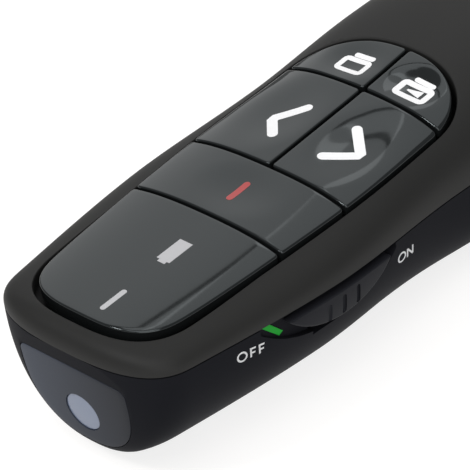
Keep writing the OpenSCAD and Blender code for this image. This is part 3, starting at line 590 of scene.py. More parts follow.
def top_case():
    """The upper shell: a thick well round the keys, snap hooks, and a tail that is open."""
    shell = carve(top_skin(), cut(top_skin(WALL, SKIRT)))
    well = plan_prism(pad_outline(PAD_GAP + WELL_T, FRONT_GAP), FRAME_TOP, FAR)
    carve(well, keep(top_skin(WALL / 2)))
    carve(
        shell,
        join(well),
        cut(opening_tool()),
        cut(slab((-SLOT_HALF, TAIL_OPEN_U - PLAY, 0), (SLOT_HALF, LENGTH + 1, OVER))),
        cut(slab((-SLOT_HALF, SLOT_START, 0), (SLOT_HALF, LENGTH, SLOT_TOP))),
        cut(groove_ring()),
    )
    carve(shell, *[join(snap_hook(u, side)) for u in SNAPS_AT for side in SIDES])
    shell.name = "upper_shell"
    return smooth(shell, 35)


def rest_pad(u):
    """The low pad that the clicker lies on."""
    return slab((-REST_HALF, u, 0), (REST_HALF, u + REST_L, REST_H))


def flat_cut(u):
    """Cuts the underside flat just above the table, except at the pad."""
    pad = slab((-REST_HALF, u, 0), (REST_HALF, u + REST_L, REST_T + 1))
    return carve(slab((-BESIDE, 0, UNDER), (BESIDE, LENGTH, REST_T)), cut(pad))


def door_block(grow, high):
    """The door's plan, grown by a gap, from under the part up to a height."""
    half = DOOR_HALF + grow
    return slab((-half, DOOR_START - grow, UNDER), (half, LENGTH + PAST_TAIL, high))


def ledge_bar(side, reach):
    """The strip beside the door's opening that the door's hooks catch behind."""
    low = (DOOR_START - LEDGE_LEAD, UNDER)
    return side_slab(side, LEDGE_IN, DOOR_HALF + reach, low, (LEDGE_END, LEDGE_TOP))


def flag_outline(grow):
    """The green mark on the recess floor, grown by a gap along the body."""
    front, back = [RECESS_U - ahead for ahead in FLAG_TOP]
    low_front, low_back = [RECESS_U - ahead for ahead in FLAG_LOW]
    deep, shallow = [split_z(RECESS_U) - drop for drop in FLAG_LOW_DROPS]
    return [
        (front - grow, split_z(front) - FLAG_TOP_DROP),
        (back + grow, split_z(back) - FLAG_TOP_DROP),
        (low_back + grow, shallow),
        (low_front - grow, deep),
    ]


def face_point(points, out):
    """Points drawn in the front face, lifted out of it."""
    x, u, z = on_face(points[:, 0], points[:, 1], out)
    return np.stack([x, u, z], 1)


def door_opening():
    """What the door's opening takes out of the lower shell, round the ledges."""
    ledges = [cut(ledge_bar(side, LEDGE_REACH)) for side in SIDES]
    return carve(door_block(PLAY, DOOR_TOP + PLAY), *ledges)


def door_swing():
    """The door's whole thickness under the ledges, with room for it to slide."""
    return carve(door_block(PLAY, DOOR_TOP + PLAY), cut(low_skin(DOOR_T + LEDGE_PLAY, SKIRT)))


def door_ledge(side):
    """The thin ledge over the door's edge, rooted in the wall beside it."""
    return carve(
        low_skin(DOOR_T + LEDGE_PLAY),
        cut(low_skin(DOOR_T + LEDGE_PLAY + LEDGE_T, SKIRT)),
        keep(ledge_bar(side, LEDGE_ROOT)),
    )


def hook_slot(u, side):
    """The gap in a ledge through which a door hook drops once the door has slid."""
    low = (u + DOOR_TRAVEL - SLOT_ROOM, 1)
    high = (u + HOOK_L + DOOR_TRAVEL + SLOT_ROOM, LEDGE_TOP)
    return side_slab(side, LEDGE_IN - 1, DOOR_HALF - PLAY, low, high)


def arm_slot():
    """The slot that the slider's arm passes and moves in."""
    high = STEM_H / 2 + ARM_ROOM
    start = CAP_U - STEM_L / 2 - SLIDER_TRAVEL - ARM_ROOM
    return slab((0, start, STEM_Z - high), (FAR, CAP_U + STEM_L / 2 + ARM_ROOM, STEM_Z + high))


def bottom_case():
    """The lower shell: thick nose, slider boss, screw pillars and ledges for the door."""
    nose_top = split_z(NOSE_BLOCK) - NOSE_BLOCK_FREE
    nose = slab((-BESIDE, 0, 0), (BESIDE, NOSE_BLOCK, nose_top))
    boss_end = RECESS_U + BOSS_HALF_L
    boss_top = split_z(boss_end) - BOSS_FREE
    boss = slab((BOSS_X, RECESS_U - BOSS_HALF_L, BOSS_LOW), (BESIDE, boss_end, boss_top))
    shell = carve(
        low_skin(),
        cut(low_skin(WALL, SKIRT)),
        join(carve(low_skin(SINK), keep(nose))),
        join(carve(low_skin(SINK), keep(boss))),
    )
    for x, u in SCREWS_AT:
        pillar = rod((x, u, UNDER), (x, u, BOARD_TOP - PILLAR_FREE), PILLAR_D)
        carve(shell, join(carve(pillar, keep(low_skin(SINK)))))
    for side in SIDES:
        carve(shell, join(door_ledge(side)))
    front = [
        (UNDER, SPLIT_H + 1),
        (BROW_SET, SPLIT_H + 1),
        (BROW_SET, SPLIT_H),
        (face_u(BROW_H), BROW_H),
        (face_u(UNDER), UNDER),
        (UNDER, UNDER),
    ]
    seat = np.array(window_outline(0))
    flag_low, flag_high = FLAG_SEAT
    carve(
        shell,
        cut(side_prism(front, -FAR, FAR)),
        cut(loft("seat", [face_point(seat, -WINDOW_T), face_point(seat, SEAT_OUT)])),
        cut(rod((0, 0, LASER_H), (0, FAR, LASER_H), BARREL_D - 2 * BARREL_STOP)),
        cut(rod((0, BARREL_U, LASER_H), (0, FAR, LASER_H), BARREL_D + PLAY)),
        cut(door_opening()),
        cut(door_swing()),
        cut(side_prism(recess_outline(), RECESS_X, FAR)),
        cut(arm_slot()),
        cut(side_prism(flag_outline(FLAG_PLAY), RECESS_X - flag_low, RECESS_X + flag_high)),
        join(rest_pad(REST_U)),
        cut(flat_cut(REST_U)),
        cut(groove_ring()),
    )
    carve(shell, *[cut(snap_pocket(u, side)) for u in SNAPS_AT for side in SIDES])
    for u in HOOKS_AT:
        for side in SIDES:
            carve(shell, cut(hook_slot(u, side)))
    for x, u in SCREWS_AT:
        hole = rod((x, u, UNDER), (x, u, FAR), SCREW_HOLE_D)
        head = rod((x, u, UNDER), (x, u, HEAD_SEAT_Z), HEAD_HOLE_D)
        carve(shell, cut(hole), cut(head))
    shell.name = "lower_shell"
    return smooth(shell, 35)


def door_hook(door, u, side):
    """Joins one hook to the door: a stem that stands up and a catch that points outwards."""
    inner = HOOK_X - HOOK_T
    top = (u + HOOK_L, HOOK_Z + HOOK_H)
    stem = side_slab(side, inner, HOOK_X, (u, HOOK_FOOT), top)
    catch = side_slab(side, inner, DOOR_HALF - HOOK_FREE, (u, HOOK_Z), top)
    carve(door, join(stem), join(catch))


def battery_door(finish_of):
    """The door that slides off towards the tail, with its thumb grip, hooks and tongue."""
    door = carve(low_skin(), cut(low_skin(DOOR_T, SKIRT)), keep(door_block(0, DOOR_TOP)))
    for u in HOOKS_AT:
        for side in SIDES:
            door_hook(door, u, side)
    tongue_end = (TONGUE_HALF, DOOR_START + TONGUE_ROOT, TONGUE_TOP)
    carve(
        door,
        join(slab((-TONGUE_HALF, DOOR_START - TONGUE_LEAD, TONGUE_LOW), tongue_end)),
        join(slab((-TONGUE_HALF, DOOR_START + PLAY, TONGUE_NECK_Z), tongue_end)),
        join(rest_pad(DOOR_REST_U)),
        cut(flat_cut(DOOR_REST_U)),
    )
    grip = capsule_row("door_grip", GRIP_COUNT, DOOR_GRIP_PITCH, GRIP_L, GRIP_R, finish_of)
    moved(grip, (0, DOOR_START + GRIP_U, REST_T + GRIP_DEEP - GRIP_R), math.pi / 2)
    carve(door, cut(grip))
    door.name = "sliding_door"
    return smooth(door, 35)


def receiver_case():
    """The receiver's case: a rounded bar whose tapered end closes the tail."""
    bar = rounded_box((0, STICK_MID), (STICK_W / 2, STICK_H / 2), STICK_R, 9)
    rings = [[(x, u, z) for x, z in bar] for u in (CASE_START, TAIL_OPEN_U + 1)]
    plane = [(u, split_z(u) + PLAY) for u in (TAIL_OPEN_U, LENGTH)]
    outline = plane + [(LENGTH, OVER), (TAIL_OPEN_U, OVER)]
    end = carve(top_skin(), keep(side_prism(outline, -STICK_W / 2, STICK_W / 2)))
    plug = slab(
        (-PLUG_W / 2, CASE_START - 1, STICK_MID - PLUG_H / 2),
        (PLUG_W / 2, CASE_START + PLUG_DEEP, STICK_MID + PLUG_H / 2),
    )
    case = carve(loft("receiver_end", rings), join(end), cut(plug))
    return smooth(case, 35)


# ---- Tiles with rounded edges and finger dishes ----

TILE_STEP = 0.3
TILE_CORNER = 0.6
TILE_EDGE_R = 0.26
DISH_D = 0.45
LASER_DISH_D = 0.28
LASER_MID = LASER_U + LASER_KEY_L / 2
PAGE_MID = PAGE_U + PAGE_KEY_L / 2
REAR_MID = REAR_U + REAR_KEY_L * 0.42
PAGE_X = 7.0
REAR_X = 5.6
# Each finger dish: its middle, its reach across and along, and its depth
DISHES = [
    ((0, LASER_MID), (8, 6), LASER_DISH_D),
    ((PAGE_X, PAGE_MID), (6.6, 10), DISH_D),
    ((-PAGE_X, PAGE_MID), (6.6, 10), DISH_D),
    ((REAR_X, REAR_MID), (5.6, 5), DISH_D),
    ((-REAR_X, REAR_MID), (5.6, 5), DISH_D),
]
# The lower faces of the tiles
PANEL_FLOOR = 21.4
LASER_FLOOR = 21.3
PAGE_FLOOR = 21.5
REAR_FLOOR = 22.4
# Below each key a stem stands over its plunger, and guide pins stand at these places beside it
PLUNGER_TOP = 19.4
KEY_STEM_D = 3.0
GUIDE_LOW = 19.2
GUIDE_D = 1.8
PIN_ROOT = 0.5
PIN_SIDES = 24
LASER_GUIDES = [(-9, 0), (9, 0)]
PAGE_GUIDES = [(3, -7), (11, 6.5)]
REAR_GUIDES = [(2, -2.6), (10, -2)]


def tile_z(x, u):
    """Height of the keypad's surface: the crown, standing proud at the front, with dishes."""
    proud = KEY_PROUD - (KEY_PROUD - REAR_PROUD) * np.clip((u - LASER_U) / PROUD_FALL_L, 0, 1)
    full = along(CROWNS, u) - split_z(u) + proud
    q = np.clip(np.abs(x) / along(WIDTHS, u), 0, 1)
    z = split_z(u) + full * (1 - q**TOP_FULL) ** (1 / TOP_FULL)
    for (dx, du), (wide, long), deep in DISHES:
        near = np.clip(1 - ((x - dx) / wide) ** 2 - ((u - du) / long) ** 2, 0, 1)
        z = z - deep * near**2
    return z


def side_x(u, z, inset=0.0):
    """How far out the lower skin lies at the place u and the height z."""
    deep = np.clip((split_z(u) - z) / np.maximum(fall(u, inset), 1e-6), 0, 1)
    full = along(LOW_FULL, u)
    return half_w(u, inset) * (1 - deep**full) ** (1 / full)


def measured(line):
    """Distance along a line to each of its points."""
    return np.concatenate([[0], np.cumsum(np.linalg.norm(np.diff(line, axis=0), axis=1))])


def stretch_of(line, start, end, step):
    """Evenly spaced points of a line between two distances along it."""
    run = measured(line)
    at = np.linspace(start, end, max(3, round((end - start) / step) + 1))
    return np.stack([np.interp(at, run, line[:, i]) for i in (0, 1)], 1)


def rounded_loop(sides, corner=TILE_CORNER, step=TILE_STEP):
    """A closed outline of sides that meet at corners, each corner rounded."""
    loop = []
    for line, after in zip(sides, sides[1:] + sides[:1]):
        length = measured(line)[-1]
        loop.append(stretch_of(line, corner, length - corner, step))
        a = loop[-1][-1]
        b = stretch_of(after, corner, corner + step, step)[0]
        t = np.linspace(0, 1, 9)[1:-1, None]
        loop.append((1 - t) ** 2 * a + 2 * t * (1 - t) * line[-1] + t**2 * b)
    return np.concatenate(loop)


def inward(loop, distance):
    """A closed loop moved inwards by a distance."""
    x, y = loop.T
    turn = np.sign(np.sum(x * np.roll(y, -1) - y * np.roll(x, -1)))
    ahead = np.roll(loop, -1, 0) - np.roll(loop, 1, 0)
    ahead = ahead / np.linalg.norm(ahead, axis=1, keepdims=True)
    return loop + turn * distance * np.stack([-ahead[:, 1], ahead[:, 0]], 1)


def crowned(name, loop, floor, height, place, edge=TILE_EDGE_R, rows=26):
    """A closed solid on an outline: straight walls, a rounded edge and a shaped face.

    height(loop) is how far out the face lies, and place(loop, heights) puts points in space.
    """
    rings = [place(loop, np.full(len(loop), floor))]
    for turn in np.linspace(0, np.pi / 2, 7):
        ring = inward(loop, edge * (1 - math.cos(turn)))
        rings.append(place(ring, height(ring) - edge * (1 - math.sin(turn))))
    inner = inward(loop, edge)
    middle = inner.mean(0)
    for share in np.linspace(1, 0, rows)[1:]:
        ring = middle + (inner - middle) * share
        rings.append(place(ring, height(ring)))
    return loft(name, rings, ends="point")


def from_plan(points, heights):
    return np.column_stack([points, heights])


def pad_edge(u0, u1, side):
    """The keypad's edge from u0 to u1, closely spaced where its ends round off."""
    u = u0 + (u1 - u0) * (1 - np.cos(np.linspace(0, np.pi, 900))) / 2
    return np.stack([side * pad_half(u), u], 1)


def key_pins(side, stem_x, mid, guides):
    """The stem and guide pins of a key, as (x, place along, low end, diameter)."""
    pins = [(side * stem_x, mid, PLUNGER_TOP, KEY_STEM_D)]
    return pins + [(side * x, mid + u, GUIDE_LOW, GUIDE_D) for x, u in guides]


def tile(name, sides, floor, pins=()):
    """A tile on its outline, bowed with its row, with its pins below."""
    x, u = rounded_loop([np.array(s, float) for s in sides]).T
    loop = np.stack([x, u - ROW_BOW * (x / along(PAD_LINE, u)) ** 2], 1)
    made = crowned(name, loop, floor, lambda p: tile_z(p[:, 0], p[:, 1]), from_plan)
    for px, pu, low, wide in pins:
        pin = rod((px, pu, low), (px, pu, floor + PIN_ROOT), wide, PIN_SIDES)
        carve(made, join(pin))
    return smooth(made, 40)


def front_panel():
    back = PAD_START + PANEL_L
    w = float(pad_half(back))
    around = np.concatenate([pad_edge(back, PAD_START, -1), pad_edge(PAD_START, back, 1)[1:]])
    return tile("front_cover", [around, [(w, back), (-w, back)]], PANEL_FLOOR)


def laser_key():
    a, b = LASER_U, LASER_U + LASER_KEY_L
    wa, wb = float(pad_half(a)), float(pad_half(b))
    sides = [[(-wa, a), (wa, a)], pad_edge(a, b, 1), [(wb, b), (-wb, b)], pad_edge(b, a, -1)]
    pins = key_pins(1, 0, LASER_MID, LASER_GUIDES)
    return tile("laser_key_tile", sides, LASER_FLOOR, pins)


def page_key(name, side):
    a, b, inner = PAGE_U, PAGE_U + PAGE_KEY_L, side * KEY_GAP / 2
    wa, wb = side * float(pad_half(a)), side * float(pad_half(b))
    sides = [[(inner, a), (wa, a)], pad_edge(a, b, side), [(wb, b), (inner, b)]]
    sides.append([(inner, b), (inner, a)])
    return tile(name, sides, PAGE_FLOOR, key_pins(side, PAGE_X, PAGE_MID, PAGE_GUIDES))


def rear_key(name, side):
    a, inner = REAR_U, side * KEY_GAP / 2
    edge = pad_edge(a, PAD_END, side)
    edge = edge[np.abs(edge[:, 0]) >= KEY_GAP / 2]
    edge[-1, 0] = inner
    wa = side * float(pad_half(a))
    sides = [[(inner, a), (wa, a)], edge, [(inner, edge[-1, 1]), (inner, a)]]
    return tile(name, sides, REAR_FLOOR, key_pins(side, REAR_X, REAR_MID, REAR_GUIDES))


# ---- Window, lens and slider ----


def front_window():
    """The smoky window, with the hole that the lens sits in."""
    outline = np.array(window_outline(-WINDOW_PLAY))
    outline = np.concatenate([outline, outline[:1]])
    loop = stretch_of(outline, 0, measured(outline)[-1], 0.25)[:-1]
    flat = np.zeros(len(loop))
    made = crowned(
        "nose_window", loop, -WINDOW_T, lambda p: flat, face_point, WINDOW_EDGE_R, rows=8
    )
    circle = circle_at((0, face_y(LASER_H)), LENS_D / 2)
    hole = [face_point(circle, out) for out in (-2.5 * WINDOW_T, PAST_END)]
    return smooth(carve(made, cut(loft("hole", hole))), 30)


def circle_at(middle, radius, sides=72):
    t = np.linspace(0, 2 * np.pi, sides, endpoint=False)
    return np.stack([middle[0] + radius * np.cos(t), middle[1] + radius * np.sin(t)], 1)


def laser_lens():
    """The round lens, set back a little and domed."""
    middle = np.array((0, face_y(LASER_H)))
    radius = LENS_D / 2 - LENS_PLAY

    def dome(points):
        off = np.linalg.norm(points - middle, axis=1) / radius
        return -LENS_SET - LENS_DOME * off**2

    loop = circle_at(middle, radius)
    lens = crowned("lens_cap", loop, -WINDOW_T, dome, face_point, LENS_EDGE_R, rows=10)
    return smooth(lens, 40)


def from_side(points, out):
    return np.column_stack([out, points])


# ---- The power slider ----

CAP_FREE = 0.35
CAP_X = RECESS_X + CAP_FREE
CAP_BULGE = 0.45
CAP_CORNER = 0.5
CAP_EDGE_R = 0.22
GROOVE_PITCH = 2.7
GROOVE_R = 0.38
GROOVE_TOP = 15.9
GROOVE_LOW = 12.7
FORK_HALF = 0.85
FORK_FREE = 0.2
ARM_REACH = 1.6
ARM_ROOT = 0.4


def add_node(tree, kind, inputs=None, **settings):
    """A node with its settings, and each input linked to an output or set to a value."""
    made = tree.nodes.new(kind)
    for setting, value in settings.items():
        setattr(made, setting, value)
    for place, value in (inputs or {}).items():
        if isinstance(value, bpy.types.NodeSocket):
            tree.links.new(value, made.inputs[place])
        else:
            made.inputs[place].default_value = value
    return made


def math_node(tree, operation, *inputs):
    """The result of one sum."""
    return add_node(tree, "ShaderNodeMath", dict(enumerate(inputs)), operation=operation).outputs[0]


def capsule_row(name, count, pitch, length, radius, finish):
    """Round-ended bars in a row along Y, each lying along Z, made by a node tree."""
    tree = bpy.data.node_groups.new(name, "GeometryNodeTree")
    new_socket = tree.interface.new_socket
    new_socket("Geometry", in_out="OUTPUT", socket_type="NodeSocketGeometry")
    wanted = {
        "Count": ("NodeSocketInt", count),
        "Pitch": ("NodeSocketFloat", pitch * MM),
        "Length": ("NodeSocketFloat", length * MM),
        "Radius": ("NodeSocketFloat", radius * MM),
        "Finish": ("NodeSocketMaterial", finish),
    }
    values = {}
    for label, (kind, value) in wanted.items():
        values[new_socket(label, in_out="INPUT", socket_type=kind).identifier] = value
    given = add_node(tree, "NodeGroupInput").outputs
    sizes = {"Segments": 24, "Rings": 13, "Radius": given["Radius"]}
    ball = add_node(tree, "GeometryNodeMeshUVSphere", sizes)
    # The two halves of a ball are drawn apart to make the bar
    spot = add_node(tree, "GeometryNodeInputPosition").outputs[0]
    half = math_node(tree, "SIGN", add_node(tree, "ShaderNodeSeparateXYZ", {0: spot}).outputs["Z"])
    less = math_node(tree, "MULTIPLY", given["Radius"], -1.0)
    straight = math_node(tree, "MULTIPLY_ADD", given["Length"], 0.5, less)
    apart = math_node(tree, "MULTIPLY", half, straight)
    offset = add_node(tree, "ShaderNodeCombineXYZ", {"Z": apart}).outputs[0]
    drawn = {"Geometry": ball.outputs["Mesh"], "Offset": offset}
    bar = add_node(tree, "GeometryNodeSetPosition", drawn)
    step = add_node(tree, "ShaderNodeCombineXYZ", {"Y": given["Pitch"]}).outputs[0]
    row = add_node(tree, "GeometryNodeMeshLine", {"Count": given["Count"], "Offset": step})
    spread = {"Points": row.outputs["Mesh"], "Instance": bar.outputs["Geometry"]}
    bars = add_node(tree, "GeometryNodeInstanceOnPoints", spread).outputs["Instances"]
    real = add_node(tree, "GeometryNodeRealizeInstances", {"Geometry": bars})
    coated = {"Geometry": real.outputs["Geometry"], "Material": given["Finish"]}
    coat = add_node(tree, "GeometryNodeSetMaterial", coated)
    add_node(tree, "NodeGroupOutput", {"Geometry": coat.outputs["Geometry"]})
    holder = bpy.data.objects.new(name, bpy.data.meshes.new(name))
    bpy.context.scene.collection.objects.link(holder)
    grow = holder.modifiers.new(name, "NODES")
    grow.node_group = tree
    for socket, value in values.items():
        grow[socket] = value
    graph = bpy.context.evaluated_depsgraph_get()
    done = bpy.data.meshes.new_from_object(holder.evaluated_get(graph))
    holder.modifiers.clear()
    holder.data = done
    return holder


def moved(obj, middle, turn):
    """Turns a mesh about Y and puts it at a place measured from the nose."""
    x, u, z = middle
    place = Matrix.Translation(Vector((x, u - LENGTH / 2, z)) * MM)
    obj.data.transform(place @ Matrix.Rotation(turn, 4, "Y"))
    return obj


def cap_sides():
    """The cap's outline: an arc below and a level edge on top."""
    radius = arc_radius(CAP_L, CAP_H)
    reach = math.sqrt(radius**2 - (radius - CAP_H + CAP_HEAD) ** 2)
    u = CAP_U + np.linspace(-reach, reach, 240)
    sag = np.sqrt(radius**2 - (u - CAP_U) ** 2) - (radius - CAP_H)
    low = np.stack([u, split_z(u) - sag], 1)
    return [low, low[[-1, 0]]]


def power_slider(finish):
    """The sliding cap, bulging from its recess, with three grip grooves and its arm."""

    def bulge(points):
        return side_x(points[:, 0], points[:, 1], -CAP_BULGE)

    loop = rounded_loop(cap_sides(), CAP_CORNER, step=0.25)
    cap = crowned("slider_cap", loop, CAP_X, bulge, from_side, CAP_EDGE_R)
    high = float(side_x(CAP_U, GROOVE_TOP, -CAP_BULGE))
    low = float(side_x(CAP_U, GROOVE_LOW, -CAP_BULGE))
    lean = math.atan2(high - low, GROOVE_TOP - GROOVE_LOW)
    long = math.hypot(high - low, GROOVE_TOP - GROOVE_LOW)
    grooves = capsule_row("grip_grooves", 3, GROOVE_PITCH, long, GROOVE_R, finish)
    middle = ((high + low) / 2, CAP_U - GROOVE_PITCH, (GROOVE_TOP + GROOVE_LOW) / 2)
    moved(grooves, middle, lean)
    arm_low = (BOSS_X - ARM_REACH, CAP_U - STEM_L / 2, STEM_Z - STEM_H / 2)
    arm_high = (CAP_X + ARM_ROOT, CAP_U + STEM_L / 2, STEM_Z + STEM_H / 2)
    fork = slab((0, CAP_U - FORK_HALF, 0), (BOSS_X - FORK_FREE, CAP_U + FORK_HALF, FAR))
    carve(cap, cut(grooves), join(slab(arm_low, arm_high)), cut(fork))
    return smooth(cap, 30)


# ---- Printed marks ----

INK_UP = 0.02
INK_DOWN = 0.06
INK_STEP = 0.15
MITRE_MIN = 0.4
SCREEN_R = 0.5
ARROW_INK = 1.5
LINE_INK = 0.85
PLAY_INK = 0.95
LASER_INK = 1.0
LETTER_INK = 0.27
LETTER_H = 1.7
OFF_SLOPE = -0.19


def on_tile(points, lift):
    return np.column_stack([points, tile_z(points[:, 0], points[:, 1]) + lift])


def on_side(points, lift):
    return np.column_stack([side_x(points[:, 0], points[:, 1]) + lift, points])


def stroke(path, width, closed=False, round_ends=True):
    """Rows of [left, right] points along a line: mitred where it turns, round at its ends."""
    path = np.array(path, float)
    half = width / 2
    ahead = np.diff(np.concatenate([path, path[:1]]) if closed else path, axis=0)
    ahead /= np.linalg.norm(ahead, axis=1, keepdims=True)
    normal = np.stack([-ahead[:, 1], ahead[:, 0]], 1)
    rows = []
    for i, point in enumerate(path):
        before = normal[i - 1] if closed or i > 0 else normal[0]
        after = normal[i % len(normal)] if closed or i < len(path) - 1 else normal[-1]
        across = before + after
        across /= max(np.dot(across, after), MITRE_MIN)
        rows.append([point - across * half, point + across * half])
    if closed:
        return rows + rows[:1]
    if round_ends:
        turns = np.linspace(0.15, np.pi / 2, 7)
        tips = [(half * math.cos(t), half * math.sin(t)) for t in turns]
        start = [[path[0] - ahead[0] * d + s * normal[0] * w for s in (-1, 1)] for d, w in tips]
        end = [[path[-1] + ahead[-1] * d + s * normal[-1] * w for s in (-1, 1)] for d, w in tips]
        rows = start[:-1] + rows + end[-2::-1]
    return rows


def ink_solid(rows, surface, closed=False, across=6):
    """A thin closed solid over rows of [left, right] points, lying on a surface."""
    rows = np.array(rows, float)
    fine = [rows[0]]
    for a, b in zip(rows[:-1], rows[1:]):
        count = max(1, int(np.ceil(np.abs(b - a).max() / INK_STEP)))
        fine += [a + (b - a) * k / count for k in range(1, count + 1)]
    if closed:
        fine = fine[:-1]
    share = np.linspace(0, 1, across)[:, None]
    rings = []
    for left, right in fine:
        line = left + (right - left) * share
        rings.append(np.concatenate([surface(line, INK_UP), surface(line[::-1], -INK_DOWN)]))
    return loft("ink", rings, ends="joined" if closed else "flat")


def printed(name, strokes, surface):
    """One mark of several strokes, joined where they cross."""
    solids = [ink_solid(rows, surface, closed) for rows, closed in strokes]
    mark = solids[0]
    if len(solids) > 1:
        carve(mark, *[join(other) for other in solids[1:]])
    mark.name = name
    return mark


def open_stroke(path, width, round_ends=True):
    return (stroke(path, width, False, round_ends), False)


def rounded_box(middle, half, radius, steps=6):
    """A closed rectangle with rounded corners."""
    path = []
    for quarter, (sx, sy) in enumerate(((1, 1), (-1, 1), (-1, -1), (1, -1))):
        for t in np.linspace(0, np.pi / 2, steps):
            a = quarter * np.pi / 2 + t
            x = middle[0] + sx * (half[0] - radius) + radius * math.cos(a)
            y = middle[1] + sy * (half[1] - radius) + radius * math.sin(a)
            path.append((x, y))
    return path


def screen_mark(middle, half, width):
    return (stroke(rounded_box(middle, half, SCREEN_R), width, True), True)


def letter(shape, corner, width, slope):
    """Strokes of one letter whose lower left corner and width are given."""
    edge = LETTER_INK / 2
    u0, z0 = corner

    def at(across, up):
        run = edge + across * (width - LETTER_INK)
        return (u0 + run, z0 + edge + up * (LETTER_H - LETTER_INK) + slope * run)

    if shape == "O":
        turns = np.linspace(0, 2 * np.pi, 36, endpoint=False)
        path = [at(0.5 + 0.5 * math.cos(t), 0.5 + 0.5 * math.sin(t)) for t in turns]
        return [(stroke(path, LETTER_INK, True), True)]
    lines = {
        "F": [[(0, 0), (0, 1), (1, 1)], [(0, 0.5), (0.85, 0.5)]],
        "N": [[(0, 0), (0, 1)], [(0, 1), (1, 0)], [(1, 0), (1, 1)]],
    }
    return [open_stroke([at(*p) for p in line], LETTER_INK, False) for line in lines[shape]]


def word(name, letters, slope):
    strokes = []
    for shape, corner, width in letters:
        strokes += letter(shape, corner, width, slope)
    return printed(name, strokes, on_side)


def key_marks():
    """The pictures on the keys, each with the body that it rides on."""
    left_arrow = [(-4.1, 53.4), (-6.8, 49.8), (-6.76, 49.03), (-4.4, 46.5)]
    right_arrow = [(4.9, 53.4), (8.4, 50.0), (8.36, 49.35), (4.7, 46.5)]
    blank_line = [(-5.95, 66.1), (-3.15, 66.1)]
    triangle = [[(5.05, 63.95), (5.05, 63.65)], [(7.45, 64.5), (7.45, 63.1)]]
    play_line = [(5.05, 66.05), (7.85, 65.95)]
    laser_line = [(0, 33.0), (0, 36.4)]
    marks = [
        ("next_mark", "next_button", open_stroke(left_arrow, ARROW_INK)),
        ("back_mark", "back_button", open_stroke(right_arrow, ARROW_INK)),
        ("blank_mark", "blank_button", screen_mark((-4.95, 63.93), (2.1, 1.25), LINE_INK)),
        ("blank_line", "blank_button", open_stroke(blank_line, LINE_INK)),
        ("play_mark", "play_button", screen_mark((6.15, 63.75), (2.35, 1.3), PLAY_INK)),
        ("play_arrow", "play_button", (triangle, False)),
        ("play_line", "play_button", open_stroke(play_line, LINE_INK)),
        ("laser_mark", "laser_button", open_stroke(laser_line, LASER_INK)),
    ]
    return [(printed(name, [strokes], on_tile), body) for name, body, strokes in marks]


def panel_marks():
    """The battery picture and the long bar on the front panel, over its lights."""
    cell = [[(0.65, 18.0), (2.93, 18.0)], [(0.65, 22.6), (2.93, 22.6)]]
    nub = [[(1.2, 17.5), (2.5, 17.5)], [(1.2, 18.1), (2.5, 18.1)]]
    bar = [(2.0, 6.4), (2.0, 10.3)]
    return [
        printed("battery_mark", [(cell, False), (nub, False)], on_tile),
        printed("level_mark", [open_stroke(bar, LINE_INK)], on_tile),
    ]


def side_words():
    """OFF and ON beside the slider, as letters with their lower left corner and width."""
    off = [("O", (14.55, 15.5), 1.75), ("F", (16.75, 15.1), 1.1), ("F", (18.2, 14.83), 1.1)]
    on = [("O", (44.5, 12.87), 1.75), ("N", (46.45, 12.75), 1.4)]
    return [word("off_word", off, OFF_SLOPE), word("on_word", on, 0.0)]


# ---- Finishes ----


def finish(name, color, rough, **looks):
    """A material with a fine grain. looks holds what differs from plain moulded plastic.

    grain is the grain's size in millimetres, depth its height in millimetres and strength its
    weight, spread how much the roughness varies over it, mottle how much the colour varies over
    patches of the size patch, gleam tints the reflections, and metal, coat and specular go to
    the shader.
    """
    material = bpy.data.materials.new(name)
    material.use_nodes = True
    tree = material.node_tree
    link = tree.links.new
    shader = tree.nodes["Principled BSDF"].inputs
    shader["Metallic"].default_value = looks.get("metal", 0.0)
    shader["IOR"].default_value = 1.5
    shader["Specular IOR Level"].default_value = looks.get("specular", 0.5)
    shader["Specular Tint"].default_value = (*looks.get("gleam", (1, 1, 1)), 1)
    shader["Coat Weight"].default_value = looks.get("coat", 0.0)
    shader["Coat Roughness"].default_value = 0.05
    place = add_node(tree, "ShaderNodeTexCoord").outputs["Object"]
    scale = 1 / (looks.get("patch", 9.0) * MM)
    noise = {"Vector": place, "Scale": scale, "Detail": 3.0}
    patches = add_node(tree, "ShaderNodeTexNoise", noise).outputs["Fac"]
    mottle = looks.get("mottle", 0.06)
    span = {"Value": patches, "To Min": 1 - mottle, "To Max": 1 + mottle}
    tint = add_node(tree, "ShaderNodeMapRange", span).outputs["Result"]
    shade = add_node(tree, "ShaderNodeMix", name="shade", data_type="RGBA", blend_type="MULTIPLY")
    shade.inputs["Factor"].default_value = 1.0
    shade.inputs["A"].default_value = (*color, 1)
    link(tint, shade.inputs["B"])
    link(shade.outputs["Result"], shader["Base Color"])
    scale = 1 / (looks.get("grain", 0.12) * MM)
    noise = {"Vector": place, "Scale": scale, "Detail": 2.0}
    fine = add_node(tree, "ShaderNodeTexNoise", noise).outputs["Fac"]
    spread = looks.get("spread", 0.05)
    span = {"Value": fine, "To Min": max(rough - spread, 0.01), "To Max": rough + spread}
    link(add_node(tree, "ShaderNodeMapRange", span).outputs["Result"], shader["Roughness"])
    strength = looks.get("strength", 0.5)
    relief = {"Strength": strength, "Distance": looks.get("depth", 0.01) * MM, "Height": fine}
    link(add_node(tree, "ShaderNodeBump", relief).outputs["Normal"], shader["Normal"])
    return material


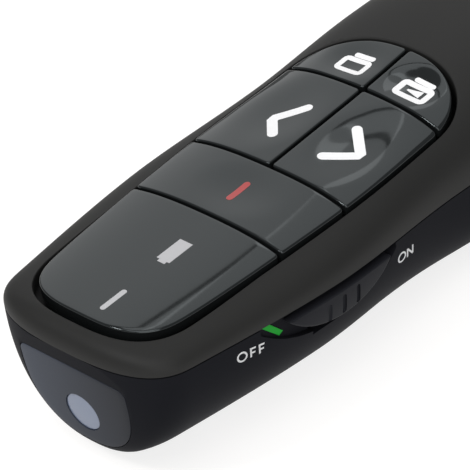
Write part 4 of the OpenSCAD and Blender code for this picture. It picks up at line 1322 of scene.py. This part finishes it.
def banded(material, axis, stops):
    """Lays bands of colour along one axis: stops are (place in mm from the origin, colour)."""
    tree = material.node_tree
    place = add_node(tree, "ShaderNodeTexCoord").outputs["Object"]
    split = add_node(tree, "ShaderNodeSeparateXYZ", {"Vector": place})
    low, high = stops[0][0], stops[-1][0]
    span = {"Value": split.outputs[axis], "From Min": low * MM, "From Max": high * MM}
    share = add_node(tree, "ShaderNodeMapRange", span).outputs["Result"]
    ramp = add_node(tree, "ShaderNodeValToRGB", {"Fac": share})
    elements = ramp.color_ramp.elements
    while len(elements) < len(stops):
        elements.new(0.5)
    for element, (at, color) in zip(elements, stops):
        element.position = (at - low) / (high - low)
        element.color = (*color, 1)
    tree.links.new(ramp.outputs["Color"], tree.nodes["shade"].inputs["A"])
    return material


def soft_paint():
    """Warm black soft-touch paint: no gloss, a fine even grain."""
    return finish("soft_touch_paint", (0.0128, 0.0128, 0.0122), 0.6, grain=0.09, depth=0.006,
                  mottle=0.05, specular=0.3)


def satin_shell():
    """Bluish black plastic with a spark-eroded grain."""
    return finish("satin_plastic", (0.013, 0.0134, 0.0165), 0.55, grain=0.14, depth=0.009,
                  mottle=0.05, specular=0.035, gleam=(0.85, 0.9, 1.0))


def slider_satin_painted_light():
    """The slider's plastic: a copy of the shell's satin, made a little paler as painted light on the
    cap, and a little shinier.
    """
    return finish("slider_satin_painted_light", (0.0155, 0.016, 0.0195), 0.45, grain=0.12, depth=0.006,
                  mottle=0.05, specular=0.08, gleam=(0.85, 0.9, 1.0))


def plain_plastic():
    return finish("plain_plastic", (0.003, 0.003, 0.0033), 0.5, grain=0.2, depth=0.006, mottle=0.1,
                  specular=0.2)


def key_gloss():
    """Polished black tiles: clear over black, with the slightest ripple."""
    return finish("key_gloss", (0.0075, 0.0085, 0.0088), 0.06, grain=1.4, depth=0.002, mottle=0.15,
                  patch=14.0, spread=0.02, strength=0.25, gleam=(0.88, 0.97, 1.0))


def window_smoke_and_shade():
    """Smoked plastic with painted shade: paler towards its -X end and darker towards +X, as light
    falls across it.
    """
    smoke = finish("window_smoke_and_shade", (0.06, 0.07, 0.085), 0.22, grain=0.3, depth=0.002, mottle=0.04,
                   spread=0.04, strength=0.3, specular=0.07)
    # The colour bands along X are painted shade, not a tone of the smoked plastic
    return banded(smoke, "X", [(-10, (0.085, 0.098, 0.128)), (0, (0.043, 0.05, 0.067)),
                               (10, (0.01, 0.012, 0.018))])


def lens_frost():
    return finish("lens_frost", (0.21, 0.26, 0.38), 0.3, grain=0.15, depth=0.003, mottle=0.05,
                  coat=0.4)


def clear_guide():
    return finish("clear_guide", (0.55, 0.58, 0.6), 0.2, grain=0.3, depth=0.002, mottle=0.05)


def slider_green():
    return finish("slider_green", (0.008, 0.42, 0.03), 0.4, grain=0.12, depth=0.006, mottle=0.08,
                  specular=0.15)


def printed_white():
    return finish("printed_white", (0.95, 0.95, 0.96), 0.5, grain=0.1, depth=0.004, mottle=0.04)


def printed_grey():
    """Half-clear ink over an unlit lamp."""
    return finish("printed_grey", (0.5, 0.5, 0.515), 0.4, grain=0.1, depth=0.004, mottle=0.05)


def printed_red():
    return finish("printed_red", (0.42, 0.05, 0.05), 0.35, grain=0.1, depth=0.004, mottle=0.06)


def board_mask():
    """Green solder mask over traces that show as paler lines."""
    mask = finish("board_mask", (0.008, 0.075, 0.03), 0.28, grain=0.25, depth=0.004, mottle=0.12)
    tree = mask.node_tree
    lines = {
        "Vector": add_node(tree, "ShaderNodeTexCoord").outputs["Object"],
        "Scale": 1 / (6 * MM),
        "Color1": (0.008, 0.075, 0.03, 1),
        "Color2": (0.007, 0.065, 0.027, 1),
        "Mortar": (0.02, 0.16, 0.06, 1),
        "Mortar Size": 0.03,
    }
    traces = add_node(tree, "ShaderNodeTexBrick", lines)
    tree.links.new(traces.outputs["Color"], tree.nodes["shade"].inputs["A"])
    return mask


def tin_sheet():
    return finish("tin_sheet", (0.62, 0.63, 0.65), 0.28, metal=1.0, grain=0.3, depth=0.003,
                  mottle=0.06, spread=0.08)


def screw_zinc():
    return finish("screw_zinc", (0.5, 0.5, 0.52), 0.34, metal=1.0, grain=0.2, depth=0.004,
                  mottle=0.08, spread=0.08)


def turned_brass():
    """Brass with the rings that turning leaves along its axis."""
    brass = finish("turned_brass", (0.72, 0.52, 0.22), 0.25, metal=1.0, mottle=0.05)
    tree = brass.node_tree
    place = add_node(tree, "ShaderNodeTexCoord").outputs["Object"]
    wave = {"Vector": place, "Scale": 1 / (1.2 * MM)}
    rings = add_node(tree, "ShaderNodeTexWave", wave, bands_direction="Y")
    tree.links.new(rings.outputs["Fac"], tree.nodes["Bump"].inputs["Height"])
    return brass


def gold_contact():
    return finish("gold_contact", (0.85, 0.6, 0.22), 0.2, metal=1.0, grain=0.2, depth=0.002,
                  mottle=0.04)


def ceramic():
    return finish("ceramic", (0.38, 0.28, 0.17), 0.55, grain=0.15, depth=0.006, mottle=0.15,
                  patch=1.5)


BAY_START = 58.9
CELL_L = 44.5
SPRING_L = 2.2
CELL_SPAN = (BAY_START - LENGTH / 2, BAY_START + CELL_L + SPRING_L - LENGTH / 2)


def cell_jacket(name, nub_end):
    """The printed jacket of a cell, dark red with a steel rim at each end and a black band."""
    low, high = CELL_SPAN
    red, black, steel = (0.3, 0.018, 0.014), (0.016, 0.016, 0.017), (0.5, 0.5, 0.52)
    jacket = finish(name, red, 0.3, grain=0.2, depth=0.003, mottle=0.05, coat=0.5)
    # Each change of colour, by its distance from the end of the bay that faces away from the nub
    cuts = [(0, steel), (1.6, steel), (1.65, black), (10.5, black), (10.55, red), (42.6, red),
            (42.65, steel), (high - low, steel)]
    places = [(low + at, color) for at, color in cuts]
    if nub_end < 0:
        places = [(low + high - at, color) for at, color in places[::-1]]
    return banded(jacket, "Y", places)


# ---- The pieces, each on its body ----

SOFT = soft_paint()
SATIN = satin_shell()
PLAIN = plain_plastic()
GLOSS = key_gloss()
WHITE = printed_white()
GREY = printed_grey()
TIN = tin_sheet()
BOARD = board_mask()
GOLD = gold_contact()
FROST = lens_frost()


def dress(obj, material):
    """Gives the whole piece one finish."""
    obj.data.materials.clear()
    obj.data.materials.append(material)
    obj.data.polygons.foreach_set("material_index", [0] * len(obj.data.polygons))
    obj.data.update()


def add_piece(obj, body, material, slot, *nodes):
    """Dresses a piece, puts it on its body and lets it stand for its nodes."""
    dress(obj, material)
    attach(obj, body)
    if nodes:
        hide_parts(*nodes)


add_piece(top_case(), "root", SOFT, "soft_touch_black", "top_case")
add_piece(bottom_case(), "root", SATIN, "satin_black", "bottom_case")
add_piece(battery_door(SATIN), "door", SATIN, "satin_black", "battery_door")
add_piece(receiver_case(), "receiver", SOFT, "satin_black", "receiver_case")
add_piece(front_panel(), "root", GLOSS, "gloss_black", "front_panel")
add_piece(laser_key(), "laser_button", GLOSS, "gloss_black", "laser_key")
add_piece(page_key("next_tile", -1), "next_button", GLOSS, "gloss_black", "next_key")
add_piece(page_key("back_tile", 1), "back_button", GLOSS, "gloss_black", "back_key")
add_piece(rear_key("play_tile", 1), "play_button", GLOSS, "gloss_black", "play_key")
add_piece(rear_key("blank_tile", -1), "blank_button", GLOSS, "gloss_black", "blank_key")
add_piece(front_window(), "root", window_smoke_and_shade(), "smoke_window", "front_window")
add_piece(laser_lens(), "root", FROST, "lens_clear", "laser_lens")
# The slider's paler copy of the satin is painted light on the cap
SLIDER = slider_satin_painted_light()
add_piece(power_slider(SLIDER), "power_switch", SLIDER, "satin_black", "power_slider")
RED = printed_red()
for mark, body in key_marks():
    add_piece(mark, body, RED if mark.name == "laser_mark" else WHITE, "light_white")
for mark in panel_marks():
    add_piece(mark, "root", GREY, "light_white")
for mark in side_words():
    add_piece(mark, "root", WHITE, "light_white")

# The pieces kept as the frame has them get their finishes only
KEPT = {
    PLAIN: ["key_frame", "laser_plunger", "next_plunger", "back_plunger", "play_plunger",
            "blank_plunger", "slide_actuator", "radio_chip", "control_chip", "chassis"],
    TIN: ["tact_switches", "laser_diode", "slide_switch", "crystal", "battery_springs",
          "battery_plates", "battery_bridge", "receiver_plug"],
    BOARD: ["main_pcb", "laser_board"],
    GOLD: ["antenna", "receiver_contacts"],
    FROST: ["laser_collimator"],
    clear_guide(): ["light_guides"],
    WHITE: ["status_leds", "receiver_tongue"],
    screw_zinc(): ["pcb_screws", "case_screws"],
    turned_brass(): ["laser_barrel"],
    slider_green(): ["switch_flag"],
    ceramic(): ["capacitors"],
    cell_jacket("left_jacket", 1): ["battery_left"],
    cell_jacket("right_jacket", -1): ["battery_right"],
}
for material, names in KEPT.items():
    for name in names:
        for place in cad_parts[name].material_slots:
            place.material = material

# ---- Camera, light and floor ----

VIEW_TURN = math.radians(47.568)
VIEW_RISE = math.radians(36.846)
VIEW_ROLL = math.radians(8.483)
VIEW_FAR = 529.783 * MM
VIEW_AIM = Vector((0, -24.564, 17.562)) * MM
VIEW_LENS = 302.74
# FLOOR_PAINT is what lights the part from below, FLOOR_SHADE and FLOOR_GLOW are what is seen
WORLD_LIGHT = 0.3
FLOOR_REACH = 3.0
FLOOR_DROP = 0.0001
FLOOR_PAINT = (0.25, 0.25, 0.255, 1)
FLOOR_SHADE = (0.34, 0.33, 0.32, 1)
FLOOR_GLOW = 0.79


def toward(turn, rise):
    """The direction to a point at this turn from the nose's side and this height above the floor."""
    return Vector((math.sin(turn) * math.cos(rise), -math.cos(turn) * math.cos(rise), math.sin(rise)))


def add_camera():
    back = toward(VIEW_TURN, VIEW_RISE)
    level = Vector((math.cos(VIEW_TURN), math.sin(VIEW_TURN), 0))
    up = back.cross(level)
    right = level * math.cos(VIEW_ROLL) - up * math.sin(VIEW_ROLL)
    top = up * math.cos(VIEW_ROLL) + level * math.sin(VIEW_ROLL)
    data = bpy.data.cameras.new("camera")
    data.lens = VIEW_LENS
    data.sensor_width = 36
    data.clip_start = 0.01
    camera = bpy.data.objects.new("camera", data)
    bpy.context.scene.collection.objects.link(camera)
    turn = Matrix((right, top, back)).transposed().to_4x4()
    camera.matrix_world = Matrix.Translation(VIEW_AIM + back * VIEW_FAR) @ turn
    bpy.context.scene.camera = camera


def add_softbox(name, direction, distance, size, power):
    """A square lamp that looks at the camera's aim. Distance and size are in metres."""
    data = bpy.data.lights.new(name, "AREA")
    data.size = size
    data.energy = power
    lamp = bpy.data.objects.new(name, data)
    bpy.context.scene.collection.objects.link(lamp)
    way = Vector(direction).normalized()
    lamp.location = VIEW_AIM + way * distance
    lamp.rotation_euler = way.to_track_quat("Z", "Y").to_euler()


def seen_plain(tree):
    """1 for rays that come from the camera, a mirror or a clear piece, else 0."""
    ray = add_node(tree, "ShaderNodeLightPath").outputs
    first = math_node(tree, "MAXIMUM", ray["Is Camera Ray"], ray["Is Glossy Ray"])
    return math_node(tree, "MAXIMUM", first, ray["Is Transmission Ray"])


def mixed(tree, share, first, second):
    """The mix of two shaders: all first where share is 0."""
    return add_node(tree, "ShaderNodeMixShader", {0: share, 1: first, 2: second}).outputs[0]


def add_world():
    """A dim even light, which the camera sees as white."""
    world = bpy.data.worlds.new("world")
    bpy.context.scene.world = world
    world.use_nodes = True
    tree = world.node_tree
    lit = tree.nodes["Background"]
    lit.inputs["Color"].default_value = (1, 1, 1, 1)
    lit.inputs["Strength"].default_value = WORLD_LIGHT
    white = add_node(tree, "ShaderNodeBackground", {"Strength": 1.0})
    seen = add_node(tree, "ShaderNodeLightPath").outputs["Is Camera Ray"]
    mix = mixed(tree, seen, lit.outputs["Background"], white.outputs["Background"])
    tree.links.new(mix, tree.nodes["World Output"].inputs["Surface"])


def add_floor():
    """A pale floor: white where it is seen, with the object's soft shadow kept."""
    data = bpy.data.meshes.new("floor")
    r = FLOOR_REACH
    corners_at = [(-r, -r, 0), (r, -r, 0), (r, r, 0), (-r, r, 0)]
    data.from_pydata(corners_at, [], [(0, 1, 2, 3)])
    floor = bpy.data.objects.new("floor", data)
    bpy.context.scene.collection.objects.link(floor)
    floor.location.z = -FLOOR_DROP
    material = bpy.data.materials.new("floor")
    material.use_nodes = True
    tree = material.node_tree
    paint = tree.nodes["Principled BSDF"]
    paint.inputs["Base Color"].default_value = FLOOR_PAINT
    paint.inputs["Roughness"].default_value = 0.9
    paint.inputs["Specular IOR Level"].default_value = 0.0
    dim = add_node(tree, "ShaderNodeBsdfDiffuse", {"Color": FLOOR_SHADE}).outputs["BSDF"]
    light = {"Color": (1.0, 1.0, 1.0, 1), "Strength": FLOOR_GLOW}
    glow = add_node(tree, "ShaderNodeEmission", light).outputs["Emission"]
    seen = add_node(tree, "ShaderNodeAddShader", {0: dim, 1: glow}).outputs[0]
    mix = mixed(tree, seen_plain(tree), paint.outputs["BSDF"], seen)
    tree.links.new(mix, tree.nodes["Material Output"].inputs["Surface"])
    data.materials.append(material)


add_camera()
add_world()
add_floor()
add_softbox("back_left_softbox", (-0.65, 0.585, 0.485), 0.85, 0.58, 1.02)
add_softbox("small_back_softbox", (-0.43, 0.42, 0.8), 0.85, 0.11, 0.045)
add_softbox("back_softbox", (-0.23, 0.57, 0.79), 0.85, 0.36, 0.4)
add_softbox("front_lamp", (-0.23, -0.54, 0.79), 0.9, 0.17, 2.0)
add_softbox("top_softbox", (0.25, -0.3, 1.0), 0.9, 0.7, 3.3)
add_softbox("right_softbox", (0.75, -0.55, 0.35), 1.0, 0.8, 3.6)
bpy.context.scene.view_settings.view_transform = "Standard"
